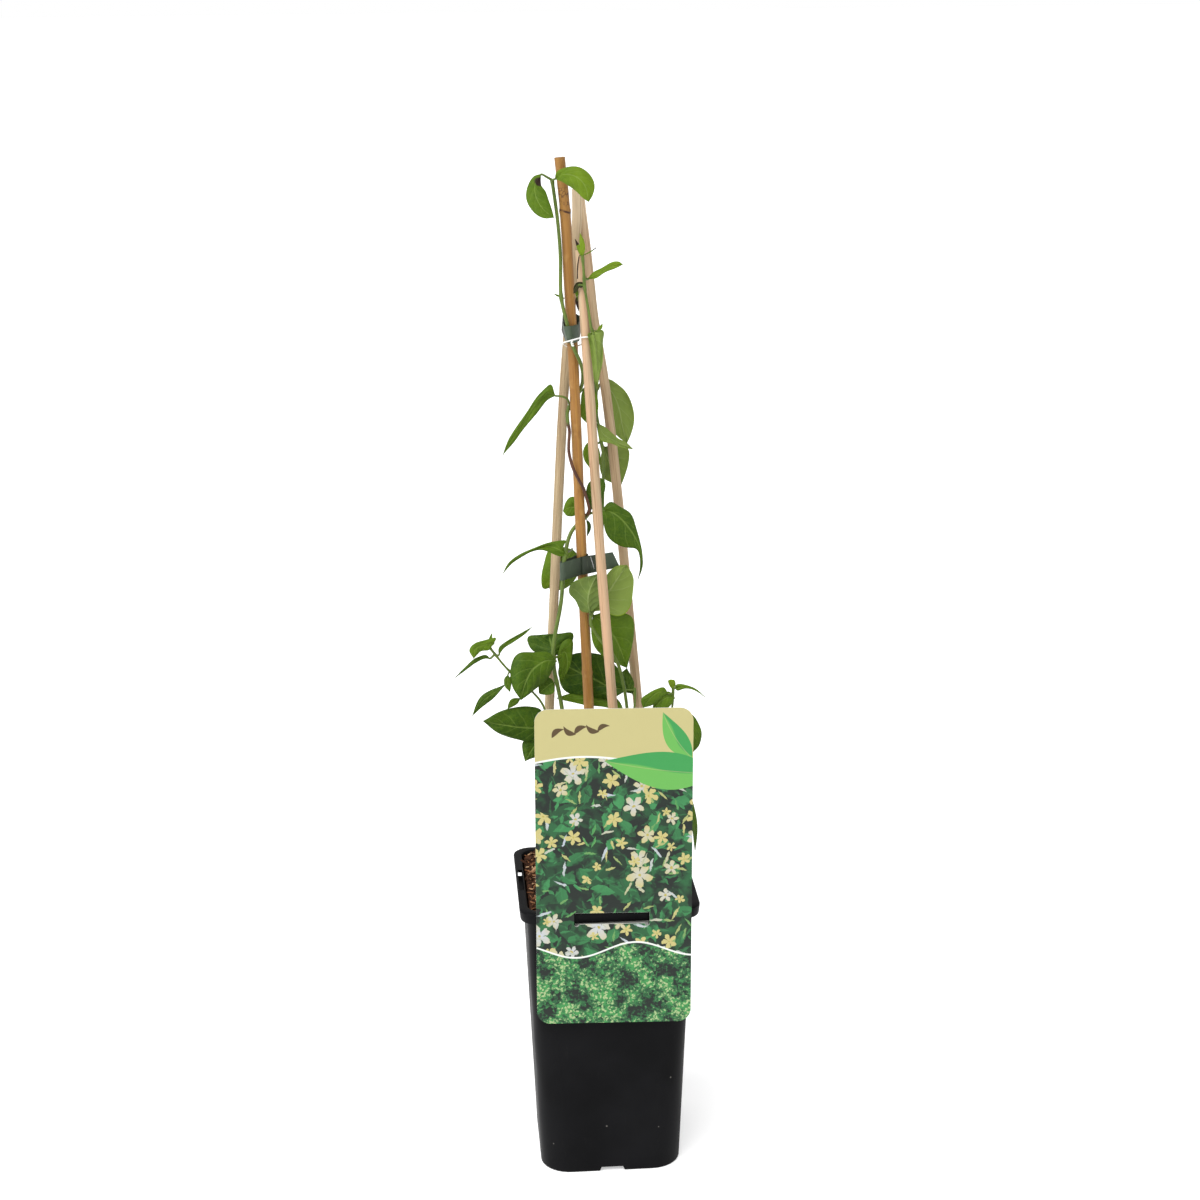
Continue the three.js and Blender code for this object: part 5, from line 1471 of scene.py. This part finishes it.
def hull_round(circles, grow, count=72):
    """Evenly spaced outline pulled round circles (x, y, radius), grown by a gap."""
    points = []
    sides = 40
    for x, y, radius in circles:
        for i in range(sides):
            angle = math.tau * i / sides
            points.append((x + (radius + grow) * math.cos(angle), y + (radius + grow) * math.sin(angle)))
    points.sort()

    def half(run):
        hull = []
        for p in run:
            while len(hull) > 1:
                o, a = hull[-2], hull[-1]
                if (a[0] - o[0]) * (p[1] - o[1]) - (a[1] - o[1]) * (p[0] - o[0]) > 0:
                    break
                hull.pop()
            hull.append(p)
        return hull[:-1]

    hull = [Vector((*p, 0)) for p in half(points) + half(points[::-1])]
    outline = evenly(hull + [hull[0]], count + 1)[:-1]
    # The outline starts at its front, so that rings of one band line up.
    middle = sum(outline, Vector()) / count
    bearings = [abs(math.atan2(p.x - middle.x, middle.y - p.y)) for p in outline]
    start = bearings.index(min(bearings))
    return outline[start:] + outline[:start]


def stem_circles(low, high, grow=0.0):
    """Circles of the main stem between two heights."""
    shoot = SHOOTS["main"]
    return [(p.x, p.y, shoot["radius"] + grow) for p in stem_line(shoot) if low - 1 < p.z < high + 1]


def cane_circle(name, z):
    """Circle of a cane at a height."""
    return (*cane_at(name, z), CANES[name]["radius"])


def add_band(name, circles_at, foot, height, look, shear=0.0, rise=0.0):
    """Band of tape pulled tight round the canes and the stem that it meets at each height."""
    last = 4
    rings = []
    for i in range(last + 1):
        z = foot + height * i / last
        slack = 0.25 * math.sin(math.pi * i / last)
        ring = []
        for p in hull_round(circles_at(z), 0.55 - 0.2 * slack):
            up = z + shear * (p.x + 20) + rise * max(0, p.y) + 0.15 * math.sin(p.x * 0.9 + p.y * 0.7)
            ring.append(Vector((p.x, p.y, up)) * MM)
        rings.append(ring)
    piece = skin(name, rings, capped=False)
    thicken(piece, look.tape_thickness * 0.8, 1)
    rounding = piece.modifiers.new("rounding", "BEVEL")
    rounding.width = 0.00012
    rounding.segments = 2
    apply_all(piece)
    return piece


def add_upper_tie(look):
    """Grey-green tape round the bamboo, the cane behind it and the stem in front of it."""

    def circles_at(z):
        canes = [cane_circle("bamboo", z), cane_circle("left", z)]
        return canes + stem_circles(z - 1, z + 1) + [(-15, 12, 2.5)]

    piece = add_band("tape_upper", circles_at, 609.5, 11.5, look, rise=0.3)
    # Painted shade: the upper tape is made darker towards its back, where it turns away behind the canes.
    tones = [min(1, max(0, (v.co.y / MM + 1.5) / 4)) for v in piece.data.vertices]
    mark(piece, "tone", tones)
    finish(piece, 40, tape_film, "tie_upper")


def add_lower_tie(look):
    """Darker tape round the bamboo and the stem, its ends stapled into a flat slanting tail."""
    foot, height, shear = 443.5, 13.0, 0.15
    canes = [cane_circle("bamboo", foot), cane_circle("bamboo", foot + height)]
    circles = canes + stem_circles(foot, foot + height)
    layers = [add_band("loop", lambda z: circles, foot, height, look, shear)]
    for layer, shift in enumerate((-0.42, 0.42)):
        tail = fresh("tail", bpy.ops.mesh.primitive_grid_add, x_subdivisions=24, y_subdivisions=8, size=1)
        for vertex in tail.data.vertices:
            s, t = vertex.co.x + 0.5, vertex.co.y + 0.5
            end = 12.4 - 4.9 * t + 0.4 * layer
            x = -13.5 + (end + 13.5) * s
            y = -6.4 - 0.085 * (x + 13) + shift + 0.25 * math.sin(x * 0.5 + 2 * t) * s
            z = foot + 1.6 * s * (1 - t) + height * t + shear * (x + 20)
            vertex.co = Vector((x, y, z)) * MM
        thicken(tail, 0.0006)
        apply_all(tail)
        layers.append(tail)
    piece = join(layers, "tape_lower")
    tones = [min(1, max(0.35, 1.1 - abs(v.co.x / MM + 9) / 16)) for v in piece.data.vertices]
    mark(piece, "tone", tones)
    finish(piece, 40, tape_film, "tie_lower")
    low, high = Vector((-5.3, -8.1, foot + 3.2)), Vector((-7.6, -7.9, foot + height - 0.6))
    prong = Vector((0, 0.9, 0))
    wire = [low + prong, low, low.lerp(high, 0.5), high, high + prong]
    wire = [p + Vector((0, 0, shear * (p.x + 20))) for p in wire]
    staple = tube("staple_wire", wire, [0.28] * 5, 2)
    finish(staple, 60, steel_staple, "tie_lower")


def add_wire_tie():
    """Loop of covered wire round the bamboo, the stem and the front cane, with a twisted end."""
    foot = 609.0
    circles = [cane_circle("bamboo", foot), cane_circle("front", foot + 6)]
    outline = hull_round(circles + stem_circles(foot - 2, foot + 11, 0.7), 1.25, 90)
    loop = [Vector((p.x, p.y, foot - 0.5 - 0.4 * (p.y + 5))) for p in outline]
    ring = tube("loop", loop + loop[:2], [0.52] * (len(loop) + 2), 3)
    knot = nearest(loop, (-17.5, -12, 613))
    # The two ends are twisted together and point forwards and down.
    steps, turns = 40, 14
    twist = []
    for i in range(steps):
        t = i / (steps - 1)
        core = knot + Vector((0.6 * t, -1.6 - 2.2 * t, -0.8 - 2.6 * t))
        twist.append(core + Vector((math.cos(t * turns), 0, math.sin(t * turns))) * 0.5)
    end = tube("twist", twist, [0.45] * steps, 2)
    piece = join([ring, end], "wire_tie")
    finish(piece, 60, white_wire, "tie_wire")


# ---- label ------------------------------------------------------------------------------------

# Middle of the card across, its back, its lean in its plane and its turn about its left end.
LABEL_X, LABEL_BACK, LABEL_LEAN, LABEL_TURN = 2.0, -65.3, 0.0087, 0.035
# Behind this place the tongue stands straight in its slot.
LEDGE_Y = -63.5
# The window in the card: its middle across, half width, lower and upper edge, and end lobes.
WINDOW_X, WINDOW_HALF, WINDOW_FOOT, WINDOW_HEAD, LOBE = 0.5, 26.75, 204.4, 212.8, 1.8


def lean(point, look):
    """Leans the card in its plane and turns it about its left end; its tongue stays in its slot."""
    x, y, z = point / MM
    if y > LEDGE_Y:
        return point
    centre = (look.foot + look.head) / 2 / MM
    across = x - LABEL_X
    turned = y - LABEL_TURN * (across + look.width / 2 / MM)
    return Vector((x + LABEL_LEAN * (z - centre), turned, z - LABEL_LEAN * across)) * MM


def add_label(look):
    """Printed card with a window, and the tongue that hooks it on the rim."""
    corner = 0.0095
    card = fresh("card", bpy.ops.mesh.primitive_plane_add, size=1)
    for vertex in card.data.vertices:
        x = LABEL_X * MM + vertex.co.x * look.width
        z = look.foot + (vertex.co.y + 0.5) * (look.head - look.foot)
        vertex.co = Vector((x, LABEL_BACK * MM, z))
    with editing():
        bpy.ops.mesh.bevel(offset=corner, segments=10, affect="VERTICES")
        bpy.ops.mesh.extrude_region_move(TRANSFORM_OT_translate={"value": (0, -look.thickness, 0)})
        turn_outwards()
    left, right = (WINDOW_X - WINDOW_HALF) * MM, (WINDOW_X + WINDOW_HALF) * MM
    foot, head, lobe = WINDOW_FOOT * MM, WINDOW_HEAD * MM, LOBE * MM
    cutters = [block("window", (left, -0.069, foot), (right, -0.062, head))]
    for x in (left + lobe, right - lobe):
        cutters.append(rod("lobe", lobe, 0.008, (x, -0.0655, foot), (math.pi / 2, 0, 0)))
    cut(card, cutters)
    piece = join([card, add_tongue()], "label_card_print")
    for vertex in piece.data.vertices:
        vertex.co = lean(vertex.co, look)
    smooth(piece, 30)
    paint(piece, label_print, label_plain)
    for face in piece.data.polygons:
        face.material_index = 0 if face.normal.y < -0.9 and face.center.y < -0.0652 else 1
    settle(piece, "label")


def add_tongue():
    """Strip from the window's top edge over the ledge and down into the rim's slot."""
    path = [(LABEL_BACK - 0.3, WINDOW_HEAD), (LABEL_BACK, 213), (-62.4, 213.1), (-61.6, 212.9)]
    path += [(-61.3, 212.3), (-61.3, 206), (-61.3, 199.5)]
    half = WINDOW_HALF - 0.5
    tongue = fresh("tongue", bpy.ops.mesh.primitive_plane_add, size=1)
    with editing():
        bpy.ops.mesh.delete(type="ONLY_FACE")
        mesh = bmesh.from_edit_mesh(tongue.data)
        for vertex in list(mesh.verts)[2:]:
            mesh.verts.remove(vertex)
        for vertex, x in zip(mesh.verts, (WINDOW_X - half, WINDOW_X + half)):
            vertex.co = Vector((x, *path[0])) * MM
        bmesh.update_edit_mesh(tongue.data)
        bpy.ops.mesh.select_all(action="SELECT")
        for (y, z), (to_y, to_z) in zip(path, path[1:]):
            step = (0, (to_y - y) * MM, (to_z - z) * MM)
            bpy.ops.mesh.extrude_region_move(TRANSFORM_OT_translate={"value": step})
    thicken(tongue, 0.0006)
    apply_all(tongue)
    return tongue


# ---- shoots -----------------------------------------------------------------------------------

# Gaps kept between the canes and what grows round them.
LEAF_CLEARANCE, STEM_CLEARANCE = 0.9, 0.75
# A stalk that starts this near its stem's line starts on it.
STALK_REACH = 12

def stem_line(shoot):
    """The stem's centre line, bent clear of the canes that it twines round."""
    if "curve" not in shoot:
        count = max(6, round(reaches(along(shoot["stem"], 60))[-1] / 7))
        clearance = shoot["radius"] + STEM_CLEARANCE
        bent = [clear_of_canes(p, clearance) for p in along(shoot["stem"], count + 1)]
        shoot["curve"] = along(bent, count * 4)
    return shoot["curve"]


def nearest(line, target):
    """The point of a line that lies nearest to a target."""
    return min(line, key=lambda p: (p - Vector(target)).length)


def sample(line, at):
    """Point on an evenly spaced line at a fractional index, and the line's direction there."""
    last = len(line) - 1
    i = min(int(at), last - 1)
    tangent = (line[min(i + 2, last)] - line[max(i - 2, 0)]).normalized()
    return line[i].lerp(line[i + 1], at - i), tangent


def blade_from_line(blade, leaf, root):
    """Bends a grid to a leaf given by its line, width and the way it faces."""
    samples, fold, wave, foot_round, tip_round = 120, 0.22, 0.06, 0.8, 0.75
    line = along([root, *leaf["line"][1:]], samples + 1)
    stalk = leaf.get("stalk", 0.16)
    face = Vector(leaf["face"]).normalized()
    for vertex in blade.data.vertices:
        s, t = vertex.co.x, vertex.co.y
        run = stalk + (1 - stalk) * t
        centre, tangent = sample(line, run * samples)
        side = tangent.cross(face).normalized()
        full = math.sin(math.pi * min(max(t, 0.0), 1.0) ** foot_round) ** tip_round
        half = max(0.35, leaf["width"] / 2 * full)
        lift = half * abs(s) * (fold + wave * math.sin(11 * run + 2 * s))
        vertex.co = centre + side * (s * half) + side.cross(tangent).normalized() * lift
    return line[: max(3, round(stalk * samples) + 2)]


def blade_from_edges(blade, leaf, root):
    """Stretches a grid between a leaf's midrib and its left and right edges."""
    samples, cup, wave = 60, 0.5, 0.05
    mid = along(leaf["mid"], samples + 1)
    left, right = (along(edge_of(leaf, side), samples + 1) for side in ("left", "right"))
    for vertex in blade.data.vertices:
        s, t = vertex.co.x, vertex.co.y
        rib, run = sample(mid, t * samples)
        edge, _ = sample(left if s < 0 else right, t * samples)
        across = edge - rib
        normal = across.cross(run).normalized() * (-1 if s < 0 else 1)
        bulge = cup * abs(s) * (1 - abs(s)) + wave * math.sin(13 * t + 3 * s) * abs(s)
        bulge += leaf.get("pleats", 0) * math.sin(8 * s + 1.5 * t)
        vertex.co = rib + across * abs(s) + normal * across.length * bulge
    stalk = [Vector(point) for point in leaf.get("stalk", [root])]
    if (stalk[0] - root).length < STALK_REACH:
        stalk[0] = root
    return along([*stalk, mid[0], mid[2]], 12)


def edge_of(leaf, side):
    """One edge of a blade, from its foot round to its tip."""
    return [leaf["mid"][0], *leaf[side], leaf["mid"][-1]]


def span_of(leaf):
    """The blade's longest reach."""
    if "line" in leaf:
        return leaf["width"]
    left, right = ([Vector(point) for point in edge_of(leaf, side)] for side in ("left", "right"))
    return max((a - b).length for a in left for b in right)


def foot_of(leaf):
    """Where a leaf leaves its stem."""
    return (leaf.get("line") or leaf.get("stalk") or leaf["mid"])[0]


def add_leaf(name, shoot, leaf, chance, look):
    """One leaf: a grid bent to shape, thickened and rounded, and its stalk."""
    root = nearest(stem_line(shoot), foot_of(leaf))
    span = span_of(leaf)
    # Small leaves need fewer faces.
    columns, rows = (10, 24) if span > 9 else (6, 14)
    grid = {"x_subdivisions": columns, "y_subdivisions": rows, "size": 1}
    blade = fresh(name, bpy.ops.mesh.primitive_grid_add, **grid)
    runs = []
    for vertex in blade.data.vertices:
        s = vertex.co.x * 2
        t = (1 - math.cos(math.pi * (vertex.co.y + 0.5))) / 2
        runs.append((0.5 + s / 2, t))
        vertex.co = (s, t, 0)
    stalk_line = (blade_from_line if "line" in leaf else blade_from_edges)(blade, leaf, root)
    # The blade is uneven, and swells a little between its side veins.
    uneven, pillow = 0.035, 0.011
    seed = chance.uniform(0, 50)
    for vertex, (u, t) in zip(blade.data.vertices, runs):
        s = abs(u * 2 - 1)
        swell = uneven * noise.noise(Vector((u * 4 + seed, t * 5, seed)))
        swell += pillow * math.sin(math.tau * VEIN_PAIRS * (t - VEIN_SWEEP * s)) * s * (1 - s) * 4
        point = vertex.co + Vector((-0.06, -0.99, 0)) * swell * span
        vertex.co = clear_of_canes(point, LEAF_CLEARANCE) * MM
    for loop, corner in zip(blade.data.loops, blade.data.uv_layers.active.data):
        corner.uv = runs[loop.vertex_index]
    thicken(blade, look.leaf_thickness).material_offset = 1
    round_off = blade.modifiers.new("round", "SUBSURF")
    round_off.levels = round_off.render_levels = 1
    paint(blade, leaf_upper, leaf_under)
    apply_all(blade)
    thin = max(0.35, min(0.75, span * 0.045))
    stalk_line = [clear_of_canes(p, thin + 0.2) for p in evenly(stalk_line, 10)]
    stem = tube("stalk", stalk_line, [thin * (1.2 - 0.03 * i) for i in range(10)], 2)
    paint(stem, vine_stem)
    mark(stem, "ripe", 0.0)
    whole = join([blade, stem], name)
    mark(whole, "tone", leaf.get("tone", 0.4 + chance.uniform(-0.15, 0.15)))
    mark(whole, "dry", dryness(whole, leaf.get("dry", 0.0)))
    return whole


def dryness(piece, dry):
    """How withered each point is, from 0 to 1: the same all over, or round a spot."""
    if isinstance(dry, float):
        return dry
    *centre, reach = dry
    centre = Vector(centre)
    return [max(0.0, min(1.0, 1.5 - (v.co / MM - centre).length / reach)) for v in piece.data.vertices]


def ripeness(shoot, z):
    """How brown and slim a stem is at a height: 1 between its marks, fading out beyond them."""
    if "ripe" not in shoot:
        return 0.0
    low, high = shoot["ripe"]
    fade = 5
    return math.exp(-max(low - z, z - high, 0) / fade)


def add_shoot(key, look):
    """A twining stem with its leaves."""
    shoot = SHOOTS[key]
    chance = random.Random(key)
    line = stem_line(shoot)
    # Where a leaf joins it the stem is thicker, and where it is ripe it is slimmer.
    knuckle, shrunk = 0.32, 0.18
    radii = []
    joints = [nearest(line, foot_of(leaf)) for leaf in shoot["leaves"]]
    for i, point in enumerate(line):
        t = i / (len(line) - 1)
        swell = sum(math.exp(-(((point - joint).length / 1.8) ** 2)) for joint in joints)
        slim = 1 - shrunk * ripeness(shoot, point.z)
        radius = shoot["radius"] + (shoot["tip"] - shoot["radius"]) * t
        radii.append(radius * slim + knuckle * min(1, swell))
    stem = tube("stem_" + key, line, radii, 4)
    mark(stem, "ripe", [ripeness(shoot, vertex.co.z / MM) for vertex in stem.data.vertices])
    finish(stem, 60, vine_stem, "shoot_" + key)
    leaves = [add_leaf(f"leaf_{i}", shoot, leaf, chance, look) for i, leaf in enumerate(shoot["leaves"])]
    foliage = join(leaves, "leaves_" + key)
    smooth(foliage, 60)
    settle(foliage, "shoot_" + key)

# ---- stage ------------------------------------------------------------------------------------


def add_camera(look):
    """Camera at its place, turned by heading, pitch and roll."""
    turn, tilt, roll = look.heading, look.pitch, look.roll
    ahead = Vector((math.sin(turn) * math.cos(tilt), math.cos(turn) * math.cos(tilt), -math.sin(tilt)))
    right = Vector((math.cos(turn), -math.sin(turn), 0))
    above = right.cross(ahead)
    across = right * math.cos(roll) + above * math.sin(roll)
    upright = above * math.cos(roll) - right * math.sin(roll)
    camera = fresh("Camera", bpy.ops.object.camera_add, location=look.camera_place)
    camera.rotation_euler = Matrix((across, upright, -ahead)).transposed().to_euler()
    camera.data.sensor_width = 36
    camera.data.lens = look.lens
    camera.data.clip_end = 100
    bpy.context.scene.camera = camera


def add_lamp(name, kind, place, ahead, power):
    """A lamp that shines ahead."""
    lamp = fresh(name, bpy.ops.object.light_add, type=kind, location=place)
    lamp.rotation_euler = Vector(ahead).to_track_quat("-Z", "Y").to_euler()
    lamp.data.energy = power
    return lamp.data


def add_stage(look):
    """Pale floor, soft lamps, a bright surround and the camera."""
    floor = fresh("studio_floor", bpy.ops.mesh.primitive_plane_add, size=look.floor)
    paint(floor, studio_white)
    sky = add_lamp("softbox_sky", "SUN", (-1, -2, 3), (0.75, 1.15, -2.0), look.sun)
    sky.angle = math.radians(50)
    side = add_lamp("side", "AREA", (-1.6, -0.9, 0.9), (1.6, 0.9, -0.6), look.side_power)
    side.size = 0.9
    surround = bpy.data.worlds.new("studio")
    surround.use_nodes = True
    tree = surround.node_tree
    backdrop = tree.nodes["Background"]
    backdrop.inputs["Color"].default_value = (1, 1, 1, 1)
    sight = tree.nodes.new("ShaderNodeLightPath")
    strength = tree.nodes.new("ShaderNodeMapRange")
    strength.inputs["To Min"].default_value = look.ambient
    strength.inputs["To Max"].default_value = 1.0
    tree.links.new(sight.outputs["Is Camera Ray"], strength.inputs["Value"])
    tree.links.new(strength.outputs["Result"], backdrop.inputs["Strength"])
    bpy.context.scene.world = surround
    bpy.context.scene.view_settings.view_transform = "Standard"
    add_camera(look)


# ---- operators and panel ----------------------------------------------------------------------


class StageOperator(bpy.types.Operator):
    """Adds the floor, lamps and camera"""

    bl_idname = "honeysuckle.stage"
    bl_label = "Stage"

    def execute(self, context):
        add_stage(settings("stage"))
        return {"FINISHED"}


class PotOperator(bpy.types.Operator):
    """Adds the nursery pot"""

    bl_idname = "honeysuckle.pot"
    bl_label = "Pot"

    def execute(self, context):
        add_pot(settings("pot"))
        return {"FINISHED"}


class CompostOperator(bpy.types.Operator):
    """Adds the bark compost"""

    bl_idname = "honeysuckle.compost"
    bl_label = "Compost"

    def execute(self, context):
        add_compost(settings("compost"))
        return {"FINISHED"}


class CanesOperator(bpy.types.Operator):
    """Adds the bamboo and the three pale canes"""

    bl_idname = "honeysuckle.canes"
    bl_label = "Canes"

    def execute(self, context):
        for name in CANES:
            add_cane(name, settings("canes"))
        return {"FINISHED"}


class TiesOperator(bpy.types.Operator):
    """Adds the two tapes and the covered wire"""

    bl_idname = "honeysuckle.ties"
    bl_label = "Ties"

    def execute(self, context):
        add_upper_tie(settings("ties"))
        add_lower_tie(settings("ties"))
        add_wire_tie()
        return {"FINISHED"}


class LabelOperator(bpy.types.Operator):
    """Adds the printed card"""

    bl_idname = "honeysuckle.label"
    bl_label = "Label"

    def execute(self, context):
        add_label(settings("label"))
        return {"FINISHED"}


class ShootsOperator(bpy.types.Operator):
    """Adds the five leafy shoots"""

    bl_idname = "honeysuckle.shoots"
    bl_label = "Shoots"

    def execute(self, context):
        for key in SHOOTS:
            add_shoot(key, settings("shoots"))
        return {"FINISHED"}


class HoneysucklePanel(bpy.types.Panel):
    """Sizes, colours and steps of the potted honeysuckle"""

    bl_idname = "VIEW3D_PT_honeysuckle"
    bl_label = "Potted Honeysuckle"
    bl_space_type = "VIEW_3D"
    bl_region_type = "UI"
    bl_category = "Honeysuckle"

    def draw(self, context):
        for key, _, operator in STEPS:
            box = self.layout.box()
            box.operator(operator.bl_idname)
            shown = settings(key)
            for name in shown.__annotations__:
                box.prop(shown, name)


STEPS = [
    ("stage", StageSettings, StageOperator),
    ("pot", PotSettings, PotOperator),
    ("compost", CompostSettings, CompostOperator),
    ("canes", CaneSettings, CanesOperator),
    ("shoots", ShootSettings, ShootsOperator),
    ("ties", TieSettings, TiesOperator),
    ("label", LabelSettings, LabelOperator),
]


def register():
    for key, kept, operator in STEPS:
        bpy.utils.register_class(kept)
        setattr(bpy.types.Scene, "honeysuckle_" + key, bpy.props.PointerProperty(type=kept))
        bpy.utils.register_class(operator)
    bpy.utils.register_class(HoneysucklePanel)


def unregister():
    bpy.utils.unregister_class(HoneysucklePanel)
    for key, kept, operator in reversed(STEPS):
        bpy.utils.unregister_class(operator)
        delattr(bpy.types.Scene, "honeysuckle_" + key)
        bpy.utils.unregister_class(kept)


def main():
    register()
    bpy.ops.honeysuckle.stage()
    bpy.ops.honeysuckle.pot()
    bpy.ops.honeysuckle.compost()
    bpy.ops.honeysuckle.canes()
    bpy.ops.honeysuckle.shoots()
    bpy.ops.honeysuckle.ties()
    bpy.ops.honeysuckle.label()


if __name__ == "__main__":
    main()
